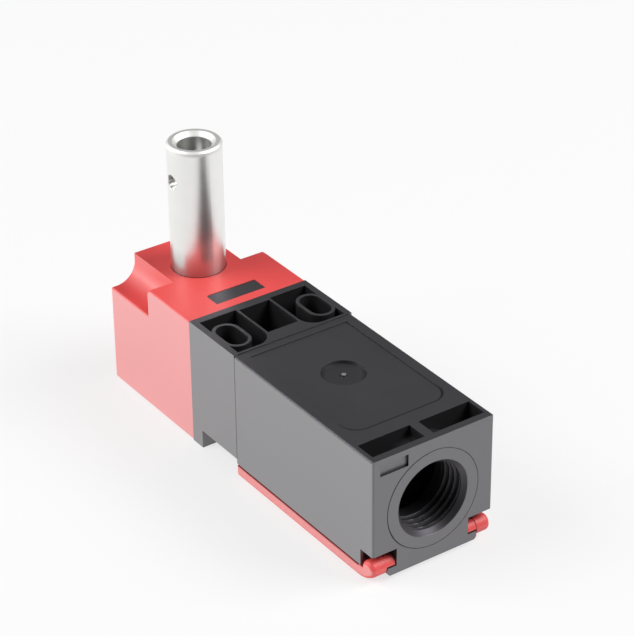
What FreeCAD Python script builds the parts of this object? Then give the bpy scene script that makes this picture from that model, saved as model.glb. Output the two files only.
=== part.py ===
import FreeCAD, Part
import math
import os
import re

import Sketcher

# Hinge-operated safety interlock switch, lying on its terminal cover with its mounting face up.
# A guard's hinge turns the hollow shaft; a cam on the shaft pushes a plunger into the contact block.
# Lengths run along +X from the far face of the head to the conduit end, and heights up from the cover.

os.makedirs("parts", exist_ok=True)
doc = FreeCAD.newDocument("hinge_interlock_switch")
sizes = doc.addObject("Spreadsheet::Sheet", "sizes")

# Driving sizes in millimetres.
SIZES = {
    # Outside of the whole switch
    "body_width": 28.0,
    "body_height": 28.0,
    "head_length": 30.5,
    "edge_round": 0.5,
    # Case: the front carries the mounting slots and stands proud of the rear
    "side_step": 0.05,
    "back_step": 0.2,
    "flange_thickness": 3.5,
    "screw_bay": 12.6,
    "bay_ceiling": 4.1,
    "front_wall": 7.9,
    "side_wall": 1.85,
    "back_wall": 2.0,
    "chamber_round": 1.5,
    # Mounting slots and the hollows round them
    "slot_spacing": 20.0,
    "slot_setback": 9.3,
    "slot_length": 8.0,
    "slot_width": 4.5,
    "slot_wall": 0.7,
    "pocket_depth": 8.0,
    "pocket_setback": 1.7,
    "pocket_length": 13.8,
    "pocket_rim": 1.35,
    "pocket_round": 3.6,
    "centre_setback": 2.2,
    "centre_length": 10.4,
    "centre_width": 7.2,
    "rib": 0.5,
    # Hollows behind the end wall
    "end_wall": 1.6,
    "end_pocket_length": 4.7,
    "end_pocket_rim": 1.1,
    "end_pocket_rib": 2.0,
    "end_pocket_depth": 6.0,
    # Shallow marks moulded in the case
    "dish_setback": 28.5,
    "dish_diameter": 9.0,
    "dish_depth": 0.7,
    "gate_diameter": 1.0,
    "gate_height": 0.35,
    "label_length": 33.4,
    "label_setback": 10.1,
    "label_width": 22.8,
    "label_round": 3.7,
    "label_depth": 0.2,
    "mark_length": 6.4,
    "mark_height": 2.5,
    "mark_setback": 1.65,
    "mark_drop": 1.2,
    "mark_depth": 0.5,
    # Conduit entry, for an M16 x 1.5 gland
    "conduit_length": 9.0,
    "bush_diameter": 21.0,
    "bush_joint": 0.06,
    "thread_diameter": 16.0,
    "thread_pitch": 1.5,
    "boss_wall": 0.8,
    "boss_gap": 0.2,
    # Head
    "notch_length": 14.5,
    "notch_width": 5.8,
    "notch_depth": 6.3,
    "notch_round": 4.5,
    "notch_brow": 1.5,
    "cam_room_drop": 7.0,
    "cam_room_height": 12.0,
    "cam_room_radius": 9.0,
    "head_floor": 3.0,
    "head_lip": 1.6,
    "shaft_gap": 0.1,
    "window_setback": 2.3,
    "window_length": 4.1,
    "window_width": 11.7,
    "window_gap": 0.1,
    "finger_thickness": 2.0,
    "finger_depth": 3.3,
    "finger_room": 2.4,
    # Shaft
    "shaft_setback": 12.3,
    "shaft_diameter": 11.3,
    "shaft_rise": 28.4,
    "shaft_bore": 7.1,
    "shaft_bore_depth": 26.0,
    "shaft_bevel": 0.4,
    "bore_bevel": 0.9,
    "cross_hole": 3.1,
    "cross_hole_drop": 7.7,
    "journal_diameter": 8.0,
    "running_gap": 0.03,
    "bearing_wall": 1.35,
    "foot_bearing_diameter": 10.0,
    "seal_height": 1.5,
    "clip_thickness": 0.8,
    "clip_diameter": 14.8,
    "clip_seat_diameter": 9.7,
    "clip_opening": 6.0,
    "end_gap": 0.1,
    # Cam and plunger
    "cam_least": 5.2,
    "cam_thickness": 6.0,
    "cam_hub_diameter": 11.6,
    "cam_hub_height": 3.8,
    "cam_pin_diameter": 2.5,
    "cam_gap": 0.05,
    "plunger_travel": 2.5,
    "plunger_diameter": 6.0,
    "plunger_fit": 0.05,
    "collar_diameter": 9.2,
    "collar_thickness": 1.6,
    "collar_setback": 13.1,
    "plunger_seal_diameter": 10.0,
    "plunger_seal_length": 2.0,
    "spring_room_diameter": 9.8,
    "spring_diameter": 8.9,
    "spring_wire": 0.7,
    "spring_turns": 6.0,
    # Contact block
    "block_gap": 0.3,
    "wire_room": 5.2,
    "shelf_gap": 0.5,
    "shelf_thickness": 2.5,
    "block_side_gap": 0.6,
    "block_end_wall": 1.2,
    "seat_drop": 5.0,
    "spine_width": 9.4,
    "spine_drop": 7.8,
    "cover_thickness": 1.0,
    "barrier_drop": 8.6,
    "barrier": 0.6,
    "barrier_gap": 0.1,
    "row_gap": 1.0,
    "leg_setback": 1.0,
    "terminal_spread": 16.4,
    "carrier_width": 6.8,
    "carrier_height": 7.0,
    "carrier_end": 1.5,
    "slide_gap": 0.1,
    "bridge_length": 11.8,
    "bridge_height": 2.8,
    "bridge_thickness": 0.6,
    "bridge_spring_room": 2.8,
    "bridge_spring_diameter": 2.6,
    "bridge_spring_wire": 0.35,
    "strip": 0.8,
    "strip_width": 4.8,
    "strip_reach": 5.4,
    "leg_inside": 4.2,
    "leg_width": 3.8,
    "leg_rise": 1.8,
    "tip_diameter": 2.0,
    "tip_thickness": 0.5,
    "tip_spread": 10.4,
    "closed_gap": 0.05,
    "open_gap": 2.8,
    "clamp_thickness": 1.0,
    "clamp_width": 4.6,
    "terminal_screw": 3.0,
    "terminal_screw_length": 5.6,
    "terminal_head": 4.6,
    "terminal_head_height": 2.0,
    "block_screw": 2.5,
    "block_screw_length": 15.0,
    "block_head": 3.8,
    "block_head_height": 1.6,
    "post_diameter": 4.8,
    "post_rise": 5.0,
    # Terminal cover and its hinge
    "lid_thickness": 2.7,
    "lid_gap": 0.3,
    "lid_side_gap": 0.15,
    "lid_round": 0.9,
    "rim_height": 1.5,
    "rim_thickness": 1.2,
    "rim_gap": 0.5,
    "gasket_width": 1.0,
    "gasket_height": 0.75,
    "gasket_gap": 0.25,
    "hinge_height": 2.9,
    "hinge_setback": 0.05,
    "barrel_radius": 1.8,
    "lid_sweep_start": 5.0,
    "lid_tail": 2.15,
    "hinge_ceiling": 6.6,
    "hinge_side_gap": 0.2,
    "tongue_width": 16.8,
    "tongue_foot": 1.0,
    "hook_reach": 2.05,
    "hook_top": 2.75,
    "hook_bevel": 0.5,
    "trunnion_radius": 0.9,
    "trunnion_gap": 0.05,
    "lid_screw_setback": 3.7,
    "lid_screw_diameter": 3.0,
    "lid_screw_tip_gap": 0.4,
    "lid_screw_head": 5.5,
    "lid_screw_head_height": 1.3,
    "lid_screw_recess": 1.5,
    "lid_screw_room": 0.4,
    "ring_thickness": 0.55,
    "ring_width": 1.1,
    "insert_wall": 0.9,
    "insert_start": 3.8,
    "insert_end_wall": 1.1,
}

for line, (name, millimetres) in enumerate(SIZES.items(), 1):
    sizes.set(f"A{line}", name)
    sizes.set(f"B{line}", str(millimetres))
    sizes.setAlias(f"B{line}", name)

# Sizes that follow from the driving ones: the pieces inside set the length of the switch.
DERIVED = {
    "first_row": "leg_setback + strip_width / 2",
    "row_pitch": "strip_width + row_gap",
    "screw_row": "first_row + row_pitch + strip_width / 2 + barrier + 2 * barrier_gap + block_head / 2",
    "last_row": "screw_row + block_head / 2 + barrier + 2 * barrier_gap + strip_width / 2",
    "block_length": "last_row + strip_width / 2 + block_end_wall",
    "chamber_length": "block_gap + block_length + wire_room",
    "case_length": "flange_thickness + screw_bay + front_wall + chamber_length + conduit_length",
    "body_length": "head_length + case_length",
    "conduit_height": "lid_thickness + lid_gap + boss_gap + bush_diameter / 2 + boss_wall",
    "cam_room_floor": "body_height / 2 - cam_room_drop",
    "terminal_seat": "body_height / 2 - seat_drop",
    "spine_foot": "body_height / 2 - spine_drop",
    "barrier_foot": "body_height / 2 - barrier_drop",
    "leg_top": "body_height / 2 + leg_rise",
    "post_foot": "body_height / 2 + post_rise",
    "insert_length": "body_height / 2 - spring_room_diameter / 2 - insert_end_wall - insert_start",
    "lid_screw_length": "insert_start + insert_length - lid_screw_recess - lid_screw_tip_gap",
    "bearing_diameter": "shaft_diameter + 2 * bearing_wall",
}
for line, (name, formula) in enumerate(DERIVED.items(), len(SIZES) + 1):
    sizes.set(f"A{line}", name)
    sizes.set(f"B{line}", f"={formula}")
    sizes.setAlias(f"B{line}", name)
doc.recompute()

# Places that several pieces share, as formulas on the sheet. X counts from the far face of the head.
CENTRE = "(body_length / 2)"
AXIS = "(body_height / 2)"
LID_START = "(head_length + flange_thickness + screw_bay)"
LID_SEAT = "(lid_thickness + lid_gap)"
CHAMBER_START = f"({LID_START} + front_wall)"
CHAMBER_END = "(body_length - conduit_length)"
SHELF_START = f"({CHAMBER_END} - wire_room + shelf_gap)"
CHAMBER_HALF = "(body_width / 2 - side_step - side_wall)"
CHAMBER_TOP = "(body_height - back_step - back_wall)"
REAR_HALF = "(body_width / 2 - side_step)"
SLOT_X = "(head_length + slot_setback)"
HINGE_X = "(body_length - hinge_setback - barrel_radius)"
HOOK_HALF = "(tongue_width / 2 + hook_reach)"
CAM_ROOM_TOP = "(cam_room_floor + cam_room_height)"
SEAL_TOP = "(body_height - head_lip)"
CAM_TOP = f"({AXIS} + cam_thickness / 2 + 0.2)"
CAM_PIN_Z = f"({CAM_TOP} - cam_thickness - cam_hub_height / 2)"
TIP_X = "(shaft_setback + cam_least + cam_gap)"
SPRING_ROOM = f"({CHAMBER_START} - collar_setback + 1.2)"
COLLAR_X = f"({CHAMBER_START} - collar_setback + 2.2)"
BLOCK_START = f"({CHAMBER_START} + block_gap)"
BLOCK_END = f"({BLOCK_START} + block_length)"
BLOCK_HALF = f"({CHAMBER_HALF} - block_side_gap)"
CARRIER_START = f"({BLOCK_START} + block_end_wall + slide_gap)"
SCREW_ROW = f"({BLOCK_START} + screw_row)"
OPENING_ROWS = (f"({BLOCK_START} + first_row)", f"({BLOCK_START} + first_row + row_pitch)")
CLOSING_ROW = f"({BLOCK_START} + last_row)"
LID_SCREW_X = f"({LID_START} + lid_screw_setback)"

FUNCTIONS = {"sqrt", "sin", "cos", "tan", "atan", "asin"}
nodes = []


# Formulas, sketches and features

def bound(formula):
    """Name the sheet before each of its cells in a formula."""
    def cell(word):
        return word.group() if word.group() in FUNCTIONS else f"sizes.{word.group()}"
    return re.sub(r"[a-z_]{3,}", cell, formula)


def number(formula):
    """The value of a formula on the sheet."""
    return float(sizes.evalExpression(bound(formula)))


def new_body(name, x=f"-{CENTRE}", z="0"):
    """A body for one sub-part, shifted so that the frame's origin is under the middle of the switch."""
    body = doc.addObject("PartDesign::Body", name)
    body.Label = name
    body.setExpression("Placement.Base.x", bound(x))
    body.setExpression("Placement.Base.z", bound(z))
    nodes.append(body)
    return body


def sketch_on(body, plane, level="0"):
    """An empty sketch on one of the body's own planes, moved along that plane's normal."""
    sketch = body.newObject("Sketcher::SketchObject", "Sketch")
    face = next(item for item in body.Origin.OriginFeatures if item.Role == f"{plane}_Plane")
    sketch.AttachmentSupport = [(face, "")]
    sketch.MapMode = "FlatFace"
    sketch.setExpression("AttachmentOffset.Base.z", bound(level))
    return sketch


def hold(sketch, kind, formula, *where):
    """A driving dimension whose value is a formula."""
    index = sketch.addConstraint(Sketcher.Constraint(kind, *where, number(formula)))
    sketch.setExpression(f"Constraints[{index}]", bound(formula))


def hold_point(sketch, curve, point, across, up):
    """Fix one point of a curve by its two distances from the origin."""
    hold(sketch, "DistanceX", across, -1, 1, curve, point)
    hold(sketch, "DistanceY", up, -1, 1, curve, point)


def outline(sketch, corners):
    """A closed outline of straight lines through the corners."""
    places = [FreeCAD.Vector(number(across), number(up), 0) for across, up in corners]
    first = sketch.GeometryCount
    for index, place in enumerate(places):
        following = places[(index + 1) % len(places)]
        sketch.addGeometry(Part.LineSegment(place, following), False)
    for index, (across, up) in enumerate(corners):
        following = first + (index + 1) % len(corners)
        sketch.addConstraint(Sketcher.Constraint("Coincident", first + index, 2, following, 1))
        hold_point(sketch, first + index, 1, across, up)
    return sketch


def rectangle(sketch, left, right, bottom, top):
    """A rectangle between two pairs of formulas."""
    return outline(sketch, [(left, bottom), (right, bottom), (right, top), (left, top)])


def circle(sketch, across, up, radius):
    """A circle from its centre and radius."""
    middle = FreeCAD.Vector(number(across), number(up), 0)
    curve = sketch.addGeometry(Part.Circle(middle, FreeCAD.Vector(0, 0, 1), number(radius)), False)
    hold_point(sketch, curve, 3, across, up)
    hold(sketch, "Radius", radius, curve)
    return sketch


def arc(sketch, across, up, radius, start, end):
    """An arc about a point, from one angle to another in degrees, with its centre and radius not yet held."""
    middle = FreeCAD.Vector(number(across), number(up), 0)
    whole = Part.Circle(middle, FreeCAD.Vector(0, 0, 1), number(radius))
    return sketch.addGeometry(Part.ArcOfCircle(whole, math.radians(start), math.radians(end)), False)


def line(sketch, start, end):
    """A straight line between two pairs of formulas, with its ends not yet held."""
    start = FreeCAD.Vector(number(start[0]), number(start[1]), 0)
    end = FreeCAD.Vector(number(end[0]), number(end[1]), 0)
    return sketch.addGeometry(Part.LineSegment(start, end), False)


def long_slot(sketch, x, y, length, width):
    """A slot with round ends, its long axis along X."""
    reach = f"(({length}) - ({width})) / 2"
    radius = f"({width}) / 2"
    right = arc(sketch, f"{x} + {reach}", y, radius, -90, 90)
    left = arc(sketch, f"{x} - {reach}", y, radius, 90, 270)
    top = line(sketch, (f"{x} + {reach}", f"{y} + {radius}"), (f"{x} - {reach}", f"{y} + {radius}"))
    foot = line(sketch, (f"{x} - {reach}", f"{y} - {radius}"), (f"{x} + {reach}", f"{y} - {radius}"))
    for before, after in ((right, top), (top, left), (left, foot), (foot, right)):
        sketch.addConstraint(Sketcher.Constraint("Tangent", before, 2, after, 1))
    hold_point(sketch, right, 3, f"{x} + {reach}", y)
    hold_point(sketch, left, 3, f"{x} - {reach}", y)
    hold(sketch, "Radius", radius, right)
    hold(sketch, "Radius", radius, left)
    return sketch


def pad(body, sketch, length, both=False, back=False):
    """Grow a sketch into a solid, along its normal, against it, or half each way."""
    feature = body.newObject("PartDesign::Pad", "Pad")
    feature.Profile = sketch
    feature.SideType = "Symmetric" if both else "One side"
    feature.Reversed = back
    feature.setExpression("Length", bound(length))
    return feature


def cut(body, sketch, depth, both=False, back=False):
    """Cut a sketch out of the solid, against its normal or along it, and check that it removed something."""
    doc.recompute()
    volume = body.Shape.Volume
    feature = body.newObject("PartDesign::Pocket", "Pocket")
    feature.Profile = sketch
    feature.SideType = "Symmetric" if both else "One side"
    feature.Reversed = back
    feature.setExpression("Length", bound(depth))
    doc.recompute()
    if body.Shape.Volume > volume - 1e-6:
        raise RuntimeError(f"a cut in {body.Label} removed nothing")
    return feature


def spin(body, sketch, axis):
    """Turn a sketch once about one of its own axes."""
    feature = body.newObject("PartDesign::Revolution", "Revolution")
    feature.Profile = sketch
    feature.ReferenceAxis = (sketch, [axis])
    feature.Angle = 360
    return feature


def round_edges(body, radius, test, kind="Fillet"):
    """Round or bevel the edges of the body whose middle, and direction if straight, pass a test."""
    doc.recompute()
    base = body.Tip
    names = []
    for index, edge in enumerate(base.Shape.Edges, 1):
        if edge.Degenerated:
            continue
        first, last = edge.ParameterRange
        way = edge.Curve.Direction if isinstance(edge.Curve, Part.Line) else FreeCAD.Vector()
        if test(edge.valueAt((first + last) / 2), way):
            names.append(f"Edge{index}")
    feature = body.newObject(f"PartDesign::{kind}", kind)
    feature.Base = (base, names)
    feature.setExpression("Radius" if kind == "Fillet" else "Size", bound(radius))
    doc.recompute()
    return feature


def near(value, formula):
    """Whether a coordinate lies at a formula's value."""
    return abs(value - number(formula)) < 0.02


def along(direction, axis):
    """Whether an edge runs along a named axis."""
    return abs(abs(getattr(direction, axis)) - 1) < 1e-4


# Plain solids, for small stamped and turned pieces

def at(thing, x, y, z):
    """Place a plain solid, with X counted from the far face of the head."""
    thing.setExpression("Placement.Base.x", bound(f"{x} - {CENTRE}"))
    thing.setExpression("Placement.Base.y", bound(y))
    thing.setExpression("Placement.Base.z", bound(z))
    return thing


def block(left, right, near_y, far_y, foot, top):
    """A box between three pairs of formulas."""
    thing = doc.addObject("Part::Box", "Box")
    thing.setExpression("Length", bound(f"({right}) - ({left})"))
    thing.setExpression("Width", bound(f"({far_y}) - ({near_y})"))
    thing.setExpression("Height", bound(f"({top}) - ({foot})"))
    return at(thing, left, near_y, foot)


def post(x, y, foot, top, diameter):
    """An upright cylinder."""
    thing = doc.addObject("Part::Cylinder", "Cylinder")
    thing.setExpression("Radius", bound(f"({diameter}) / 2"))
    thing.setExpression("Height", bound(f"({top}) - ({foot})"))
    return at(thing, x, y, foot)


def stud(left, right, y, z, diameter):
    """A cylinder along X."""
    thing = doc.addObject("Part::Cylinder", "Cylinder")
    thing.setExpression("Radius", bound(f"({diameter}) / 2"))
    thing.setExpression("Height", bound(f"({right}) - ({left})"))
    thing.Placement.Rotation = FreeCAD.Rotation(FreeCAD.Vector(0, 1, 0), 90)
    return at(thing, left, y, z)


def sleeve(left, right, diameter, wall):
    """A short tube about the plunger's axis, the envelope of a close-wound spring."""
    return less(stud(left, right, "0", AXIS, diameter), stud(left, right, "0", AXIS, f"{diameter} - 2 * {wall}"))


def join(*things):
    """One solid from several that touch."""
    whole = doc.addObject("Part::MultiFuse", "Fuse")
    whole.Shapes = list(things)
    whole.Refine = True
    return whole


def less(thing, tool):
    """A solid with another cut out of it."""
    result = doc.addObject("Part::Cut", "Cut")
    result.Base = thing
    result.Tool = tool
    return result


def together(name, things):
    """Like pieces that share one node, as separate solids."""
    group = doc.addObject("Part::Compound", name)
    group.Label = name
    group.Links = list(things)
    nodes.append(group)
    return group


def coil(name, start, length, radius, wire, turns):
    """A helical spring along X: a wire swept along a helix, with four flats in place of its round."""
    spine = doc.addObject("Part::Helix", f"{name}_spine")
    spine.setExpression("Radius", bound(radius))
    spine.setExpression("Height", bound(f"({length}) - ({wire})"))
    spine.setExpression("Pitch", bound(f"(({length}) - ({wire})) / ({turns})"))
    section = doc.addObject("Part::RegularPolygon", f"{name}_section")
    section.Polygon = 4
    section.setExpression("Circumradius", bound(f"({wire}) / 2"))
    section.setExpression("Placement.Base.x", bound(radius))
    section.Placement.Rotation = FreeCAD.Rotation(FreeCAD.Vector(1, 0, 0), 90)
    sweep = doc.addObject("Part::Sweep", f"{name}_wire")
    sweep.Sections = [section]
    sweep.Spine = (spine, ["Edge1"])
    sweep.Solid = True
    sweep.Frenet = True
    turned = doc.addObject("Part::Compound", f"{name}_turned")
    turned.Links = [sweep]
    turned.Placement.Rotation = FreeCAD.Rotation(FreeCAD.Vector(0, 1, 0), 90)
    return at(turned, f"{start} + ({wire}) / 2", "0", AXIS)


# Housing: the moulded black case

def make_housing():
    body = new_body("housing")
    # Front: from the joint with the head to the cover, with the bay for the mounting screws' heads
    side = outline(sketch_on(body, "XZ"), [
        ("head_length", "0"),
        ("head_length + flange_thickness", "0"),
        ("head_length + flange_thickness", "bay_ceiling"),
        (LID_START, "bay_ceiling"),
        (LID_START, "body_height"),
        ("head_length", "body_height"),
    ])
    pad(body, side, "body_width", both=True)
    # Rear: a little lower and narrower than the front, down to the cover's seat
    side = rectangle(sketch_on(body, "XZ"), LID_START, "body_length", LID_SEAT, "body_height - back_step")
    pad(body, side, f"2 * {REAR_HALF}", both=True)
    round_edges(body, "edge_round", lambda middle, way: (
        near(middle.x, "body_length") and along(way, "z")
        or along(way, "x") and middle.z > number("body_height - 1") and middle.x > number(LID_START)
    ))
    # Chamber for the contact block and the wires, open to the cover
    floor = sketch_on(body, "XY", LID_SEAT)
    rectangle(floor, CHAMBER_START, CHAMBER_END, f"-{CHAMBER_HALF}", CHAMBER_HALF)
    cut(body, floor, f"{CHAMBER_TOP} - {LID_SEAT}", back=True)
    round_edges(body, "chamber_round", lambda middle, way: (
        along(way, "z") and abs(abs(middle.y) - number(CHAMBER_HALF)) < 0.02
        and (near(middle.x, CHAMBER_START) or near(middle.x, CHAMBER_END))
    ))
    make_back(body)
    make_conduit_end(body)
    make_front(body)


def make_back(body):
    """Hollows, mounting slots and shallow marks of the back face."""
    top = sketch_on(body, "XY", "body_height")
    pocket_start = "head_length + pocket_setback"
    pocket_end = f"{pocket_start} + pocket_length"
    outside = "body_width / 2 - pocket_rim"
    inside = "centre_width / 2 + rib"
    rectangle(top, pocket_start, pocket_end, f"-({outside})", f"-({inside})")
    rectangle(top, pocket_start, pocket_end, inside, outside)
    cut(body, top, "pocket_depth")
    round_edges(body, "pocket_round", lambda middle, way: (
        along(way, "z") and near(middle.x, pocket_end) and near(abs(middle.y), inside)
    ))
    centre = sketch_on(body, "XY", "body_height")
    start = "head_length + centre_setback"
    rectangle(centre, start, f"{start} + centre_length", "-centre_width / 2", "centre_width / 2")
    cut(body, centre, "pocket_depth")
    # Walls of the slots stand in the hollows
    walls = sketch_on(body, "XY", "body_height")
    for y in ("slot_spacing / 2", "-slot_spacing / 2"):
        long_slot(walls, SLOT_X, y, "slot_length + 2 * slot_wall", "slot_width + 2 * slot_wall")
    pad(body, walls, "pocket_depth + 0.5", back=True)
    slots = sketch_on(body, "XY", "body_height")
    for y in ("slot_spacing / 2", "-slot_spacing / 2"):
        long_slot(slots, SLOT_X, y, "slot_length", "slot_width")
    cut(body, slots, "body_height")
    # Shallow field for a label, and the dished gate mark
    field = sketch_on(body, "XY", "body_height - back_step")
    end = "body_length - label_setback"
    rectangle(field, f"{end} - label_length", end, "-label_width / 2", "label_width / 2")
    cut(body, field, "label_depth")
    round_edges(body, "label_round", lambda middle, way: (
        along(way, "z") and near(abs(middle.y), "label_width / 2") and near(middle.x, end)
    ))
    dish = circle(sketch_on(body, "XY", "body_height - back_step - label_depth"),
                  "body_length - dish_setback", "0", "dish_diameter / 2")
    cut(body, dish, "dish_depth")
    gate = circle(sketch_on(body, "XY", "body_height - back_step - label_depth - dish_depth"),
                  "body_length - dish_setback", "0", "gate_diameter / 2")
    pad(body, gate, "gate_height")


def make_conduit_end(body):
    """End wall with its hollows, a shelf for the wires, the bush's boss and the hooks of the cover's hinge."""
    shelf = sketch_on(body, "XY", LID_SEAT)
    rectangle(shelf, SHELF_START, f"{CHAMBER_END} + 0.5", f"-({CHAMBER_HALF} + 0.5)", f"{CHAMBER_HALF} + 0.5")
    pad(body, shelf, "shelf_thickness")
    ends = sketch_on(body, "XY", "body_height - back_step")
    end = "body_length - end_wall"
    outside = "body_width / 2 - side_step - end_pocket_rim"
    rectangle(ends, f"{end} - end_pocket_length", end, f"-({outside})", "-end_pocket_rib / 2")
    rectangle(ends, f"{end} - end_pocket_length", end, "end_pocket_rib / 2", outside)
    cut(body, ends, "end_pocket_depth")
    boss = circle(sketch_on(body, "YZ", CHAMBER_END), "0", "conduit_height", "bush_diameter / 2 + boss_wall")
    pad(body, boss, "conduit_length")
    bore = circle(sketch_on(body, "YZ", "body_length"), "0", "conduit_height", "bush_diameter / 2 + bush_joint")
    cut(body, bore, "conduit_length + 0.5")
    # Corners cut away for the hinge barrels
    corners = sketch_on(body, "YZ", f"{HINGE_X} - barrel_radius - hinge_side_gap")
    for inner, outer in (("-body_width", "-tongue_width / 2"), ("tongue_width / 2", "body_width")):
        rectangle(corners, inner, outer, "0", "hinge_ceiling")
    cut(body, corners, "body_length", back=True)
    # Foot of the end wall between the barrels, with a hook at each side under the trunnions
    foot = outline(sketch_on(body, "YZ", f"{HINGE_X} + hinge_setback"), [
        ("-tongue_width / 2", f"{LID_SEAT} + 0.5"),
        ("-tongue_width / 2", "hook_top"),
        (f"-{HOOK_HALF}", "hook_top"),
        (f"-{HOOK_HALF}", "tongue_foot + hook_bevel"),
        (f"-{HOOK_HALF} + hook_bevel", "tongue_foot"),
        (f"{HOOK_HALF} - hook_bevel", "tongue_foot"),
        (HOOK_HALF, "tongue_foot + hook_bevel"),
        (HOOK_HALF, "hook_top"),
        ("tongue_width / 2", "hook_top"),
        ("tongue_width / 2", f"{LID_SEAT} + 0.5"),
    ])
    pad(body, foot, f"body_length - {HINGE_X} - hinge_setback")
    for level, back in ((HOOK_HALF, False), (f"-{HOOK_HALF}", True)):
        seat = circle(sketch_on(body, "XZ", level), HINGE_X, "hinge_height", "trunnion_radius + trunnion_gap")
        cut(body, seat, "hook_reach", back=back)
    # Shallow generic marking recess in the end face
    mark = sketch_on(body, "YZ", "body_length")
    left = f"-{REAR_HALF} + mark_setback"
    top = "body_height - back_step - mark_drop"
    rectangle(mark, left, f"{left} + mark_length", f"{top} - mark_height", top)
    cut(body, mark, "mark_depth")


def make_front(body):
    """Snap tongues for the head, the plunger's bore, the cover's screw hole and the posts of the block."""
    start = "head_length - window_setback - window_length + window_gap"
    end = "head_length - window_setback - window_gap"
    for top, sign in (("body_height", "-"), ("0", "+")):
        finger = outline(sketch_on(body, "XZ"), [
            ("head_length", f"{top} {sign} finger_depth"),
            (end, f"{top} {sign} finger_depth"),
            (end, f"{top} {sign} window_gap"),
            (start, f"{top} {sign} window_gap"),
            (start, f"{top} {sign} (finger_depth + finger_thickness)"),
            ("head_length", f"{top} {sign} (finger_depth + finger_thickness)"),
        ])
        pad(body, finger, "window_width - 2 * window_gap", both=True)
    round_edges(body, "edge_round", lambda middle, way: (
        along(way, "z") and near(middle.x, start) and abs(middle.y) > 1
    ))
    bore = circle(sketch_on(body, "YZ", CHAMBER_START), "0", AXIS, "plunger_diameter / 2 + plunger_fit")
    cut(body, bore, f"{CHAMBER_START} - head_length")
    room = circle(sketch_on(body, "YZ", CHAMBER_START), "0", AXIS, "spring_room_diameter / 2")
    cut(body, room, f"{CHAMBER_START} - {SPRING_ROOM}")
    seat = circle(sketch_on(body, "YZ", "head_length"), "0", AXIS, "plunger_seal_diameter / 2")
    cut(body, seat, "plunger_seal_length", back=True)
    hole = circle(sketch_on(body, "XY", LID_SEAT), LID_SCREW_X, "0",
                  "lid_screw_diameter / 2 + lid_screw_room + insert_wall")
    cut(body, hole, f"insert_start + insert_length - {LID_SEAT}", back=True)
    mouth = circle(sketch_on(body, "XY", LID_SEAT), LID_SCREW_X, "0",
                   "lid_screw_diameter / 2 + lid_screw_room + insert_wall + 0.6")
    cut(body, mouth, f"insert_start - {LID_SEAT}", back=True)
    posts = sketch_on(body, "XY", CHAMBER_TOP)
    holes = sketch_on(body, "XY", "post_foot")
    for y in ("terminal_spread / 2", "-terminal_spread / 2"):
        circle(posts, SCREW_ROW, y, "post_diameter / 2")
        circle(holes, SCREW_ROW, y, "block_screw / 2")
    pad(body, posts, f"{CHAMBER_TOP} - post_foot", back=True)
    cut(body, holes, "block_screw_length + terminal_seat - post_foot", back=True)


# Conduit bush: the flush round bush of the cable entry

def make_conduit_bush():
    body = new_body("conduit_bush", z="conduit_height")
    minor = "thread_diameter / 2 - 0.5413 * thread_pitch"
    ring = outline(sketch_on(body, "XY"), [
        (CHAMBER_END, minor),
        (f"body_length - thread_diameter / 2 + {minor}", minor),
        ("body_length", "thread_diameter / 2"),
        ("body_length", "bush_diameter / 2"),
        (CHAMBER_END, "bush_diameter / 2"),
    ])
    spin(body, ring, "H_Axis")


# Head: the red moulding that carries the shaft

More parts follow.
